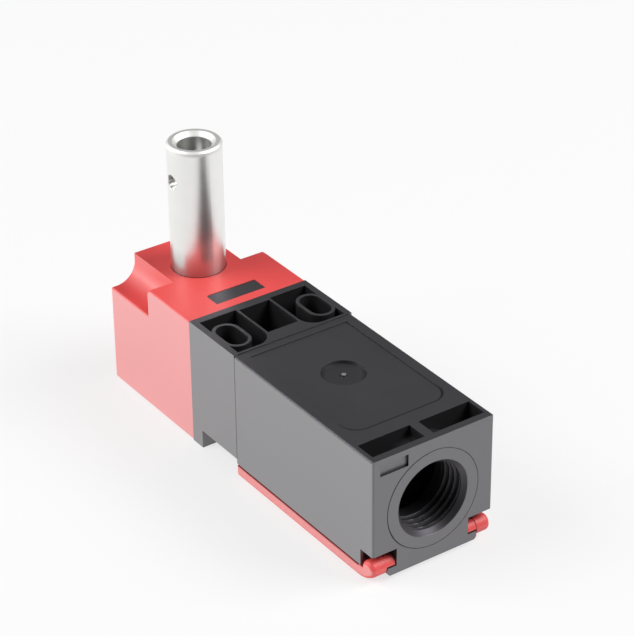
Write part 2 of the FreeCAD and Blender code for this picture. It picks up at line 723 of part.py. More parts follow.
def make_head():
    body = new_body("head_housing")
    end = rectangle(sketch_on(body, "YZ"), "-body_width / 2", "body_width / 2", "0", "body_height")
    pad(body, end, "head_length")
    make_notches(body)
    round_edges(body, "edge_round", lambda middle, way: (
        near(middle.x, "0")
        or along(way, "x") and (near(middle.z, "0") or near(abs(middle.y), "body_width / 2"))
    ))
    # Room for the cam, round at its far end and open to the case
    room = sketch_on(body, "XY", "cam_room_floor")
    radius = "cam_room_radius"
    bow = arc(room, "shaft_setback", "0", radius, 90, 270)
    sides = [
        line(room, ("shaft_setback", f"-{radius}"), ("head_length", f"-{radius}")),
        line(room, ("head_length", f"-{radius}"), ("head_length", radius)),
        line(room, ("head_length", radius), ("shaft_setback", radius)),
    ]
    room.addConstraint(Sketcher.Constraint("Tangent", bow, 2, sides[0], 1))
    room.addConstraint(Sketcher.Constraint("Coincident", sides[0], 2, sides[1], 1))
    room.addConstraint(Sketcher.Constraint("Coincident", sides[1], 2, sides[2], 1))
    room.addConstraint(Sketcher.Constraint("Tangent", sides[2], 2, bow, 1))
    room.addConstraint(Sketcher.Constraint("Vertical", sides[1]))
    hold_point(room, bow, 3, "shaft_setback", "0")
    hold(room, "Radius", radius, bow)
    hold(room, "DistanceX", "head_length", -1, 1, sides[1], 1)
    room.addConstraint(Sketcher.Constraint("Horizontal", sides[0]))
    room.addConstraint(Sketcher.Constraint("Horizontal", sides[2]))
    cut(body, room, "cam_room_height", back=True)
    # Mouths and windows of the two snap tongues
    mouth = sketch_on(body, "YZ", "head_length")
    half = "window_width / 2 + 0.3"
    depth = "finger_depth - 0.3"
    rectangle(mouth, f"-({half})", half, f"{CAM_ROOM_TOP} - 0.1", f"body_height - ({depth})")
    rectangle(mouth, f"-({half})", half, depth, "cam_room_floor + 0.1")
    cut(body, mouth, "window_setback + window_length + 1.5")
    window = sketch_on(body, "XY", "body_height")
    edge = "head_length - window_setback"
    rectangle(window, f"{edge} - window_length", edge, "-window_width / 2", "window_width / 2")
    cut(body, window, "body_height")
    round_edges(body, "edge_round", lambda middle, way: (
        along(way, "z") and near(middle.x, f"{edge} - window_length") and near(abs(middle.y), "window_width / 2")
    ))
    # Stepped bore for the shaft, its seal and its two bearings
    top = circle(sketch_on(body, "XY", "body_height"), "shaft_setback", "0", "shaft_diameter / 2 + shaft_gap")
    cut(body, top, f"body_height - {CAM_ROOM_TOP} + 0.5")
    upper = circle(sketch_on(body, "XY", CAM_ROOM_TOP), "shaft_setback", "0", "bearing_diameter / 2")
    cut(body, upper, f"{SEAL_TOP} - {CAM_ROOM_TOP}", back=True)
    lower = circle(sketch_on(body, "XY", "cam_room_floor"), "shaft_setback", "0", "foot_bearing_diameter / 2")
    cut(body, lower, "cam_room_floor - head_floor")


def make_notches(body):
    """A channel along each upper corner, with a large hollow radius against the middle stem."""
    for side in ("-", ""):
        channel = sketch_on(body, "YZ")
        wall = f"{side}(body_width / 2 - notch_width)"
        outer = f"{side}(body_width / 2 + 1)"
        ledge = "body_height - notch_depth"
        above = "body_height + 1"
        corner = f"{side}(body_width / 2 - notch_width + notch_round)"
        hollow = arc(channel, corner, f"{ledge} + notch_round", "notch_round",
                     *((270, 360) if side else (180, 270)))
        stem_end, ledge_end = (2, 1) if side else (1, 2)
        first = line(channel, (wall, above), (wall, f"{ledge} + notch_round"))
        second = line(channel, (corner, ledge), (outer, ledge))
        third = line(channel, (outer, ledge), (outer, above))
        fourth = line(channel, (outer, above), (wall, above))
        channel.addConstraint(Sketcher.Constraint("Coincident", first, 2, hollow, stem_end))
        channel.addConstraint(Sketcher.Constraint("Coincident", hollow, ledge_end, second, 1))
        for before, after in ((second, third), (third, fourth), (fourth, first)):
            channel.addConstraint(Sketcher.Constraint("Coincident", before, 2, after, 1))
        hold_point(channel, first, 1, wall, above)
        hold_point(channel, first, 2, wall, f"{ledge} + notch_round")
        hold_point(channel, second, 1, corner, ledge)
        hold_point(channel, third, 1, outer, ledge)
        hold_point(channel, fourth, 1, outer, above)
        hold(channel, "Radius", "notch_round", hollow)
        cut(body, channel, "notch_length", back=True)
    round_edges(body, "notch_brow", lambda middle, way: (
        along(way, "y") and near(middle.x, "notch_length") and near(middle.z, "body_height")
    ))


# Shaft, its bearings, seal and clip

def make_shaft():
    body = new_body("operating_shaft", x=f"shaft_setback - {CENTRE}")
    radius = "shaft_diameter / 2"
    journal = "journal_diameter / 2"
    top = "body_height + shaft_rise"
    clip_foot = f"{CAM_ROOM_TOP} - end_gap - clip_thickness"
    bore_foot = f"{top} - shaft_bore_depth"
    turned = outline(sketch_on(body, "XZ"), [
        ("0", "head_floor + 2 * end_gap"),
        (f"{journal} - shaft_bevel", "head_floor + 2 * end_gap"),
        (journal, "head_floor + 2 * end_gap + shaft_bevel"),
        (journal, f"{CAM_TOP} + end_gap"),
        (radius, f"{CAM_TOP} + end_gap"),
        (radius, clip_foot),
        ("clip_seat_diameter / 2", clip_foot),
        ("clip_seat_diameter / 2", f"{clip_foot} + clip_thickness"),
        (radius, f"{clip_foot} + clip_thickness"),
        (radius, f"{top} - shaft_bevel"),
        (f"{radius} - shaft_bevel", top),
        ("shaft_bore / 2 + bore_bevel", top),
        ("shaft_bore / 2", f"{top} - bore_bevel"),
        ("shaft_bore / 2", bore_foot),
        ("0", f"{bore_foot} - shaft_bore / 4"),
    ])
    spin(body, turned, "V_Axis")
    doc.recompute()
    cross = circle(sketch_on(body, "XZ"), "0", f"{top} - cross_hole_drop", "cross_hole / 2")
    cut(body, cross, "2 * shaft_diameter", both=True)
    pin = circle(sketch_on(body, "XZ"), "0", CAM_PIN_Z, "cam_pin_diameter / 2")
    cut(body, pin, "2 * shaft_diameter", both=True)


def make_ring(name, inner, outer, foot, top):
    """A turned ring about the shaft's axis."""
    body = new_body(name, x=f"shaft_setback - {CENTRE}")
    section = rectangle(sketch_on(body, "XZ"), inner, outer, foot, top)
    spin(body, section, "V_Axis")
    doc.recompute()
    return body


def make_shaft_rings():
    bearing = "shaft_diameter / 2 + running_gap"
    make_ring("shaft_bush", bearing, "bearing_diameter / 2", CAM_ROOM_TOP, f"{SEAL_TOP} - seal_height")
    seal = make_ring("shaft_seal", bearing, "bearing_diameter / 2", f"{SEAL_TOP} - seal_height", SEAL_TOP)
    round_edges(seal, "seal_height / 5", lambda middle, way: near(middle.z, SEAL_TOP), kind="Chamfer")
    make_ring("shaft_foot_bush", "journal_diameter / 2 + running_gap", "foot_bearing_diameter / 2",
              "head_floor", "cam_room_floor")
    foot = f"{CAM_ROOM_TOP} - end_gap - clip_thickness"
    clip = make_ring("shaft_clip", "clip_seat_diameter / 2", "clip_diameter / 2", foot, f"{foot} + clip_thickness")
    mouth = rectangle(sketch_on(clip, "XY", foot), "0", "clip_diameter", "-clip_opening / 2", "clip_opening / 2")
    cut(clip, mouth, "clip_thickness", back=True)


# Cam: a heart whose edge moves the plunger evenly, the same for either way of turning

def make_cam():
    ball = number("plunger_diameter / 2")
    rise = number("plunger_travel") / math.pi
    nearest = number("cam_least")
    flank = [FreeCAD.Vector(nearest, 0, 0)]
    for step in range(17):
        turn = math.pi * step / 16
        reach = nearest + ball + rise * turn
        outward = FreeCAD.Vector(math.cos(turn), math.sin(turn), 0)
        sideways = FreeCAD.Vector(-math.sin(turn), math.cos(turn), 0)
        normal = (outward * reach - sideways * rise).normalize()
        touch = outward * reach - normal * ball
        if touch.y > 0:
            flank.append(touch)
    other = [FreeCAD.Vector(point.x, -point.y, 0) for point in flank]
    curves = []
    for points in (flank, other):
        spline = Part.BSplineCurve()
        spline.interpolate(points)
        curves.append(spline.toShape())
    edge = Part.Wire([curves[0], Part.makeLine(flank[-1], other[-1]), curves[1]])
    top = number(CAM_TOP)
    foot = top - number("cam_thickness")
    disc = Part.Face(edge).extrude(FreeCAD.Vector(0, 0, number("cam_thickness")))
    disc.translate(FreeCAD.Vector(0, 0, foot))
    up = FreeCAD.Vector(0, 0, 1)
    hub_height = number("cam_hub_height")
    hub = Part.makeCylinder(number("cam_hub_diameter / 2"), hub_height, FreeCAD.Vector(0, 0, foot - hub_height), up)
    bore = Part.makeCylinder(number("journal_diameter / 2"), number("body_height"), FreeCAD.Vector(), up)
    width = number("cam_hub_diameter")
    hole = Part.makeCylinder(number("cam_pin_diameter / 2"), width,
                             FreeCAD.Vector(0, -width / 2, number(CAM_PIN_Z)), FreeCAD.Vector(0, 1, 0))
    cam = doc.addObject("Part::Feature", "cam")
    cam.Label = "cam"
    cam.Shape = disc.fuse(hub).cut(bore).cut(hole).removeSplitter()
    cam.Placement.Base = FreeCAD.Vector(number(f"shaft_setback - {CENTRE}"), 0, 0)
    nodes.append(cam)
    pin = new_body("cam_pin", x=f"shaft_setback - {CENTRE}")
    section = circle(sketch_on(pin, "XZ"), "0", CAM_PIN_Z, "cam_pin_diameter / 2")
    pad(pin, section, "cam_hub_diameter - 0.4", both=True)


# Plunger with its ball nose, seal and return spring

def make_plunger():
    body = new_body("plunger", z=AXIS)
    radius = "plunger_diameter / 2"
    shape = sketch_on(body, "XY")
    nose = arc(shape, f"{TIP_X} + {radius}", "0", radius, 90, 180)
    corners = [
        (f"{TIP_X} + {radius}", radius),
        (COLLAR_X, radius),
        (COLLAR_X, "collar_diameter / 2"),
        (f"{COLLAR_X} + collar_thickness", "collar_diameter / 2"),
        (f"{COLLAR_X} + collar_thickness", radius),
        (CARRIER_START, radius),
        (CARRIER_START, "0"),
        (TIP_X, "0"),
    ]
    sides = [line(shape, start, end) for start, end in zip(corners, corners[1:])]
    for before, after in zip(sides, sides[1:]):
        shape.addConstraint(Sketcher.Constraint("Coincident", before, 2, after, 1))
    for side, (across, up) in zip(sides, corners):
        hold_point(shape, side, 1, across, up)
    hold_point(shape, sides[-1], 2, TIP_X, "0")
    shape.addConstraint(Sketcher.Constraint("Coincident", nose, 1, sides[0], 1))
    shape.addConstraint(Sketcher.Constraint("Coincident", nose, 2, sides[-1], 2))
    hold(shape, "Radius", radius, nose)
    spin(body, shape, "H_Axis")
    seal = new_body("plunger_seal", z=AXIS)
    section = rectangle(sketch_on(seal, "XY"), "head_length + end_gap", "head_length + plunger_seal_length",
                        f"{radius} + running_gap", "plunger_seal_diameter / 2")
    spin(seal, section, "H_Axis")
    spring_start = f"({COLLAR_X} + collar_thickness)"
    spring = coil("return", spring_start, f"{BLOCK_START} - {spring_start}",
                  "(spring_diameter - spring_wire) / 2", "spring_wire", "spring_turns")
    together("return_spring", [spring])


# Contact block

def make_block():
    body = new_body("contact_block_base")
    section = outline(sketch_on(body, "YZ", BLOCK_START), [
        (f"-{BLOCK_HALF}", "terminal_seat"),
        ("-spine_width / 2", "terminal_seat"),
        ("-spine_width / 2", "spine_foot"),
        ("spine_width / 2", "spine_foot"),
        ("spine_width / 2", "terminal_seat"),
        (BLOCK_HALF, "terminal_seat"),
        (BLOCK_HALF, CHAMBER_TOP),
        (f"-{BLOCK_HALF}", CHAMBER_TOP),
    ])
    pad(body, section, "block_length")
    walls = sketch_on(body, "XY", "barrier_foot")
    row_one, row_two = OPENING_ROWS
    for left in (BLOCK_START, f"({row_one} + {row_two}) / 2 - barrier / 2",
                 f"{row_two} + strip_width / 2 + barrier_gap",
                 f"{CLOSING_ROW} - strip_width / 2 - barrier_gap - barrier", f"{BLOCK_END} - barrier"):
        for inner, outer in ((f"-{BLOCK_HALF}", "-spine_width / 2 + 0.5"), ("spine_width / 2 - 0.5", BLOCK_HALF)):
            rectangle(walls, left, f"{left} + barrier", inner, outer)
    pad(body, walls, "terminal_seat - barrier_foot + 0.3")
    # Channel of the sliding carrier, closed later by the cover strip
    channel = sketch_on(body, "XY", "spine_foot")
    half = "carrier_width / 2 + slide_gap"
    rectangle(channel, f"{BLOCK_START} + block_end_wall", f"{BLOCK_END} - block_end_wall", f"-({half})", half)
    cut(body, channel, f"{AXIS} + carrier_height / 2 + slide_gap - spine_foot", back=True)
    # Rooms of the three bridges, and the slots of the fixed contacts' legs
    legs = sketch_on(body, "XY", "terminal_seat")
    for row, start, leg in (*((row, f"{row} - strip_width / 2 + strip", f"{row} - strip_width / 2")
                              for row in OPENING_ROWS),
                            (CLOSING_ROW, f"{CLOSING_ROW} - strip_width / 2 - 0.6",
                             f"{CLOSING_ROW} + strip_width / 2 - strip")):
        room = sketch_on(body, "YZ", start)
        rectangle(room, "-bridge_length / 2 - 0.3", "bridge_length / 2 + 0.3",
                  f"{AXIS} - bridge_height / 2 - 0.4", f"{AXIS} + bridge_height / 2 + 0.4")
        length = "strip_width - 2 * strip + 1.1" if row != CLOSING_ROW else "strip_width - strip + 0.6"
        cut(body, room, length, back=True)
        for inner, outer in (("leg_inside", "leg_inside + leg_width"), ("-leg_inside - leg_width", "-leg_inside")):
            rectangle(legs, leg, f"{leg} + strip", inner, outer)
    cut(body, legs, "leg_top - terminal_seat", back=True)
    holes = sketch_on(body, "XY", "terminal_seat")
    for y in ("terminal_spread / 2", "-terminal_spread / 2"):
        for row in (*OPENING_ROWS, CLOSING_ROW):
            circle(holes, row, y, "terminal_screw / 2")
    cut(body, holes, "terminal_screw_length - clamp_thickness - strip", back=True)
    through = sketch_on(body, "XY", "terminal_seat")
    pockets = sketch_on(body, "XY", "post_foot")
    for y in ("terminal_spread / 2", "-terminal_spread / 2"):
        circle(through, SCREW_ROW, y, "block_screw / 2")
        circle(pockets, SCREW_ROW, y, "post_diameter / 2")
    cut(body, through, f"{CHAMBER_TOP} - terminal_seat", back=True)
    cut(body, pockets, f"{CHAMBER_TOP} - post_foot", back=True)
    front = circle(sketch_on(body, "YZ", BLOCK_START), "0", AXIS, "plunger_diameter / 2 + slide_gap")
    cut(body, front, "block_end_wall + 0.1", back=True)


def make_block_cover():
    body = new_body("contact_block_cover")
    plate = sketch_on(body, "XY", "spine_foot")
    rectangle(plate, BLOCK_START, BLOCK_END, "-spine_width / 2 + 0.5", "spine_width / 2 - 0.5")
    pad(body, plate, "cover_thickness", back=True)
    key = sketch_on(body, "XY", "spine_foot")
    rectangle(key, f"{BLOCK_START} + block_end_wall", f"{BLOCK_END} - block_end_wall",
              "-carrier_width / 2", "carrier_width / 2")
    pad(body, key, f"{AXIS} - carrier_height / 2 - slide_gap - spine_foot")


def opening_bridge(row):
    """Where an opening pole's bridge starts: resting on the fixed tips."""
    return f"({row} - strip_width / 2 + strip + 2 * tip_thickness + closed_gap)"


CLOSING_BRIDGE = ("(" + CLOSING_ROW + " + strip_width / 2 - strip - 2 * tip_thickness - open_gap"
                  " - bridge_thickness)")


def make_carrier():
    body = new_body("contact_carrier")
    end = f"({CLOSING_BRIDGE} + bridge_thickness + 0.3 + carrier_end)"
    bar = sketch_on(body, "YZ", CARRIER_START)
    rectangle(bar, "-carrier_width / 2", "carrier_width / 2", f"{AXIS} - carrier_height / 2",
              f"{AXIS} + carrier_height / 2")
    pad(body, bar, f"{end} - {CARRIER_START}")
    windows = sketch_on(body, "XZ")
    foot = f"{AXIS} - bridge_height / 2 - 0.1"
    top = f"{AXIS} + bridge_height / 2 + 0.1"
    for row in OPENING_ROWS:
        start = f"{opening_bridge(row)} - 0.1"
        rectangle(windows, start, f"{start} + 0.1 + bridge_thickness + bridge_spring_room", foot, top)
    start = f"{CLOSING_BRIDGE} - bridge_spring_room"
    rectangle(windows, start, f"{CLOSING_BRIDGE} + bridge_thickness + 0.1", foot, top)
    cut(body, windows, "2 * carrier_width", both=True)


def make_bridges():
    bridges = []
    springs = []
    for row in (*OPENING_ROWS, CLOSING_ROW):
        closing = row == CLOSING_ROW
        start = CLOSING_BRIDGE if closing else opening_bridge(row)
        plate = block(start, f"{start} + bridge_thickness", "-bridge_length / 2", "bridge_length / 2",
                      f"{AXIS} - bridge_height / 2", f"{AXIS} + bridge_height / 2")
        tip_start = f"{start} + bridge_thickness" if closing else f"{start} - tip_thickness"
        tips = [stud(tip_start, f"{tip_start} + tip_thickness", y, AXIS, "tip_diameter")
                for y in ("tip_spread / 2", "-tip_spread / 2")]
        bridges.append(join(plate, *tips))
        spring_start = f"{start} - bridge_spring_room" if closing else f"{start} + bridge_thickness"
        springs.append(sleeve(spring_start, f"{spring_start} + bridge_spring_room", "bridge_spring_diameter",
                              "bridge_spring_wire"))
    together("contact_bridges", bridges)
    together("bridge_springs", springs)


def fixed_strip(row, side, closing):
    """A stamped strip: a pad under the terminal screw and a leg up to its contact tip."""
    left = f"{row} - strip_width / 2"
    right = f"{row} + strip_width / 2"
    leg = f"{right} - strip" if closing else left
    reach = ("spine_width / 2", "spine_width / 2 + strip_reach")
    inner = ("leg_inside", "leg_inside + leg_width")
    pad_y = reach if side > 0 else (f"-({reach[1]})", f"-({reach[0]})")
    leg_y = inner if side > 0 else (f"-({inner[1]})", f"-({inner[0]})")
    spread = "terminal_spread / 2" if side > 0 else "-terminal_spread / 2"
    tip_y = "tip_spread / 2" if side > 0 else "-tip_spread / 2"
    plate = block(left, right, *pad_y, "terminal_seat - strip", "terminal_seat")
    upright = block(leg, f"{leg} + strip", *leg_y, "terminal_seat", "leg_top")
    tip_start = f"{leg} - tip_thickness" if closing else f"{leg} + strip"
    tip = stud(tip_start, f"{tip_start} + tip_thickness", tip_y, AXIS, "tip_diameter")
    hole = post(row, spread, "terminal_seat - 2 * strip", "terminal_seat + strip", "terminal_screw")
    return less(join(plate, upright, tip), hole)


def make_terminals():
    together("closed_contacts", [fixed_strip(row, side, False) for row in OPENING_ROWS for side in (1, -1)])
    together("open_contacts", [fixed_strip(CLOSING_ROW, side, True) for side in (1, -1)])
    clamps = []
    screws = []
    seat = "terminal_seat - strip"
    for row in (*OPENING_ROWS, CLOSING_ROW):
        for y in ("terminal_spread / 2", "-terminal_spread / 2"):
            half = "clamp_width / 2"
            plate = block(f"{row} - {half}", f"{row} + {half}", f"{y} - {half}", f"{y} + {half}",
                          f"{seat} - clamp_thickness", seat)
            clamps.append(less(plate, post(row, y, f"{seat} - 2 * clamp_thickness", "terminal_seat",
                                           "terminal_screw")))
            face = f"{seat} - clamp_thickness"
            head = post(row, y, f"{face} - terminal_head_height", face, "terminal_head")
            shank = post(row, y, face, f"{face} + terminal_screw_length", "terminal_screw")
            screws.append(join(head, shank))
    together("terminal_clamps", clamps)
    together("terminal_screws", screws)
    fixings = []
    for y in ("terminal_spread / 2", "-terminal_spread / 2"):
        head = post(SCREW_ROW, y, "terminal_seat - block_head_height", "terminal_seat", "block_head")
        shank = post(SCREW_ROW, y, "terminal_seat", "terminal_seat + block_screw_length", "block_screw")
        fixings.append(join(head, shank))
    together("contact_block_screws", fixings)


# Terminal cover with its hinge barrels, gasket and captive screw

def make_lid():
    body = new_body("lid")
    half = f"({REAR_HALF})"
    # Side profile: a flat plate swept up round the barrels
    shape = sketch_on(body, "XZ")
    start = f"{LID_START} + lid_side_gap"
    sweep_x = f"body_length - lid_sweep_start"
    drop = "hinge_height - barrel_radius"
    run = f"({HINGE_X} - ({sweep_x}))"
    sweep_radius = f"(({run} * {run} + hinge_height * hinge_height - barrel_radius * barrel_radius) / (2 * ({drop})))"
    meeting = f"({run} / ({sweep_radius} - barrel_radius))"
    lean = math.degrees(math.asin(number(meeting)))
    join_x = f"{HINGE_X} - sqrt(barrel_radius * barrel_radius - (hinge_height - lid_thickness) * (hinge_height - lid_thickness))"
    rise = math.degrees(math.asin(number("(hinge_height - lid_thickness) / barrel_radius")))
    sweep = arc(shape, sweep_x, sweep_radius, sweep_radius, 270, 270 + lean)
    barrel = arc(shape, HINGE_X, "hinge_height", "barrel_radius", lean - 90, 180 + rise)
    sides = [
        line(shape, (join_x, "lid_thickness"), (start, "lid_thickness")),
        line(shape, (start, "lid_thickness"), (start, "0")),
        line(shape, (start, "0"), (sweep_x, "0")),
    ]
    shape.addConstraint(Sketcher.Constraint("Tangent", sweep, 2, barrel, 1))
    shape.addConstraint(Sketcher.Constraint("Coincident", barrel, 2, sides[0], 1))
    shape.addConstraint(Sketcher.Constraint("Coincident", sides[0], 2, sides[1], 1))
    shape.addConstraint(Sketcher.Constraint("Coincident", sides[1], 2, sides[2], 1))
    shape.addConstraint(Sketcher.Constraint("Tangent", sides[2], 2, sweep, 1))
    shape.addConstraint(Sketcher.Constraint("Horizontal", sides[0]))
    hold_point(shape, sides[1], 1, start, "lid_thickness")
    hold_point(shape, sides[2], 1, start, "0")
    hold_point(shape, sides[2], 2, sweep_x, "0")
    hold_point(shape, barrel, 3, HINGE_X, "hinge_height")
    hold(shape, "Radius", "barrel_radius", barrel)
    pad(body, shape, f"2 * {half}", both=True)
    round_edges(body, "lid_round", lambda middle, way: near(middle.z, "0") and along(way, "x"))
    # Between the barrels the plate ends before the foot of the end wall
    middle = f"{HOOK_HALF} + hinge_side_gap"
    tail = sketch_on(body, "YZ", f"{HINGE_X} - lid_tail")
    rectangle(tail, f"-({middle})", middle, "-1", "hinge_ceiling")
    cut(body, tail, "body_length", back=True)
    # Inner ends: half barrels above the hooks, with a small trunnion that the hooks hold
    inside = "tongue_width / 2 + hinge_side_gap"
    depth = f"{middle} - ({inside}) + 0.2"
    for level, back in ((f"{middle} + 0.2", True), (f"-({middle} + 0.2)", False)):
        upper = sketch_on(body, "XZ", level)
        reach = "sqrt((barrel_radius - 0.1) * (barrel_radius - 0.1) - 0.01)"
        tilt = math.degrees(math.asin(0.1 / number("barrel_radius - 0.1")))
        dome = arc(upper, HINGE_X, "hinge_height", "barrel_radius - 0.1", tilt, 180 - tilt)
        floor = line(upper, (f"{HINGE_X} - {reach}", "hinge_height + 0.1"),
                     (f"{HINGE_X} + {reach}", "hinge_height + 0.1"))
        upper.addConstraint(Sketcher.Constraint("Coincident", dome, 1, floor, 2))
        upper.addConstraint(Sketcher.Constraint("Coincident", dome, 2, floor, 1))
        upper.addConstraint(Sketcher.Constraint("Horizontal", floor))
        hold_point(upper, dome, 3, HINGE_X, "hinge_height")
        hold(upper, "DistanceY", "hinge_height + 0.1", -1, 1, floor, 2)
        hold(upper, "Radius", "barrel_radius - 0.1", dome)
        pad(body, upper, depth, back=back)
        core = circle(sketch_on(body, "XZ", level), HINGE_X, "hinge_height", "trunnion_radius")
        pad(body, core, depth, back=back)
    # Rim that enters the chamber, the gasket's groove and the captive screw's hole
    rim = sketch_on(body, "XY", "lid_thickness")
    edges = (f"{CHAMBER_START} + rim_gap", f"{SHELF_START} - rim_gap", f"-{CHAMBER_HALF} + rim_gap",
             f"{CHAMBER_HALF} - rim_gap")
    rectangle(rim, *edges)
    rectangle(rim, f"{edges[0]} + rim_thickness", f"{edges[1]} - rim_thickness",
              f"{edges[2]} + rim_thickness", f"{edges[3]} - rim_thickness")
    pad(body, rim, "rim_height")
    round_edges(body, "edge_round", lambda middle, way: (
        along(way, "z") and near(middle.z, "lid_thickness + rim_height / 2")
        and (near(middle.x, edges[0]) or near(middle.x, edges[1]))
    ))
    groove = sketch_on(body, "XY", "lid_thickness")
    gasket_outline(groove)
    cut(body, groove, "gasket_height - gasket_gap")
    hole = circle(sketch_on(body, "XY", "lid_thickness"), LID_SCREW_X, "0", "lid_screw_diameter / 2 + 0.1")
    cut(body, hole, "lid_thickness")
    recess = circle(sketch_on(body, "XY"), LID_SCREW_X, "0", "lid_screw_head / 2 + 0.25")
    cut(body, recess, "lid_screw_recess", back=True)


def gasket_outline(sketch):
    """The ring between the cover's rim and the edge of the cover."""
    edges = (f"{CHAMBER_START} + rim_gap - 0.1", f"{SHELF_START} - rim_gap + 0.1",
             f"-{CHAMBER_HALF} + rim_gap - 0.1", f"{CHAMBER_HALF} - rim_gap + 0.1")
    rectangle(sketch, *edges)
    rectangle(sketch, f"{edges[0]} - gasket_width", f"{edges[1]} + gasket_width",
              f"{edges[2]} - gasket_width", f"{edges[3]} + gasket_width")


def make_lid_parts():
    gasket = new_body("lid_gasket")
    ring = sketch_on(gasket, "XY", "lid_thickness + gasket_gap")
    gasket_outline(ring)
    pad(gasket, ring, "gasket_height", back=True)
    radius = "lid_screw_diameter / 2"
    screw = new_body("lid_screw", x=f"{LID_SCREW_X} - {CENTRE}")
    top = "lid_screw_recess + lid_screw_length"
    foot = "lid_screw_recess - lid_screw_head_height"
    section = outline(sketch_on(screw, "XZ"), [
        ("0", foot),
        ("lid_screw_head / 2 - 0.4", foot),
        ("lid_screw_head / 2", f"{foot} + 0.4"),
        ("lid_screw_head / 2", "lid_screw_recess"),
        (radius, "lid_screw_recess"),
        (radius, f"{top} - 0.5"),
        (f"{radius} - 0.5", top),
        ("0", top),
    ])
    spin(screw, section, "V_Axis")
    ring = new_body("lid_screw_ring", x=f"{LID_SCREW_X} - {CENTRE}")
    section = rectangle(sketch_on(ring, "XZ"), radius, f"{radius} + ring_width", "lid_thickness",
                        "lid_thickness + ring_thickness")
    spin(ring, section, "V_Axis")
    insert = new_body("lid_screw_insert", x=f"{LID_SCREW_X} - {CENTRE}")
    section = rectangle(sketch_on(insert, "XZ"), f"{radius} + lid_screw_room",
                        f"{radius} + lid_screw_room + insert_wall", "insert_start", "insert_start + insert_length")
    spin(insert, section, "V_Axis")


make_housing()
make_conduit_bush()
make_head()
make_shaft()
make_shaft_rings()
make_cam()
make_plunger()
make_block()
make_block_cover()
make_carrier()
make_bridges()
make_terminals()
make_lid()
make_lid_parts()
doc.recompute()

for item in doc.Objects:
    if "Invalid" in item.State or "Error" in item.State:
        raise RuntimeError(f"{item.Label} failed: {item.State}")
for node in nodes:
    if node.Shape.isNull() or not node.Shape.isValid():
        raise RuntimeError(f"{node.Label} has no valid shape")
    node.Shape.exportStep(f"parts/{node.Label}.step")
    print(node.Label, len(node.Shape.Solids), round(node.Shape.Volume, 1))
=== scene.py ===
import math

import bmesh
import bpy
from mathutils import Matrix, Vector


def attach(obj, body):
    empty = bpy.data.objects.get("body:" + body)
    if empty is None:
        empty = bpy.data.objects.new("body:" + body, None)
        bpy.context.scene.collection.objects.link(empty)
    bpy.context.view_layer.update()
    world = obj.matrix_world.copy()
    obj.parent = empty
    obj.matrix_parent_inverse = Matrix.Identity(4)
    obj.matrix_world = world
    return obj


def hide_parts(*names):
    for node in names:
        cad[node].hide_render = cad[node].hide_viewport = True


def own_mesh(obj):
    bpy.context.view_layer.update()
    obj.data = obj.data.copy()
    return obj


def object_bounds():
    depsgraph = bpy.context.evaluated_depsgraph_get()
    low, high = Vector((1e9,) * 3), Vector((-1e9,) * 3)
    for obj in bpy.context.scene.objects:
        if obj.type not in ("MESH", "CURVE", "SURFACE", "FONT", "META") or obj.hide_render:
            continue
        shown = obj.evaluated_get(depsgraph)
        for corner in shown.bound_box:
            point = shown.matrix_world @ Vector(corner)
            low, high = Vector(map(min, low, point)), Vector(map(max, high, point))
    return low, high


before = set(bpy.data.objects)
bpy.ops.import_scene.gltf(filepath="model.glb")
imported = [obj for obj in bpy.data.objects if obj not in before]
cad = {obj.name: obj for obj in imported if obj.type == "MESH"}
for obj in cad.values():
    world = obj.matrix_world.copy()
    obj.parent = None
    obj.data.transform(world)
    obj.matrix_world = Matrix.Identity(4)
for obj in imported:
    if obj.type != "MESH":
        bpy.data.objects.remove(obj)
solid_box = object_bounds()


# Housing
# The case is one black moulding in glass-filled nylon, with a satin grain on every face.
# Its edges are hardly rounded. The head, the conduit bush and the cover are fixed to it.

mm = 0.001


class Socket:
    """A number, vector or colour inside a finish. Arithmetic on it adds Math nodes."""

    def __init__(self, finish, link):
        self.finish = finish
        self.link = link

    def maths(self, operation, *values):
        return self.finish.node("ShaderNodeMath", {"operation": operation}, dict(enumerate(values)))

    def __add__(self, other):
        return self.maths("ADD", self, other)

    def __radd__(self, other):
        return self.maths("ADD", other, self)

    def __sub__(self, other):
        return self.maths("SUBTRACT", self, other)

    def __rsub__(self, other):
        return self.maths("SUBTRACT", other, self)

    def __mul__(self, other):
        return self.maths("MULTIPLY", self, other)

    def __rmul__(self, other):
        return self.maths("MULTIPLY", other, self)

    def __truediv__(self, other):
        return self.maths("DIVIDE", self, other)

    def __gt__(self, other):
        return self.maths("GREATER_THAN", self, other)

    def __lt__(self, other):
        return self.maths("LESS_THAN", self, other)

    def __pow__(self, other):
        return self.maths("POWER", self, other)

    def __abs__(self):
        return self.maths("ABSOLUTE", self)

    def larger(self, other):
        return self.maths("MAXIMUM", self, other)


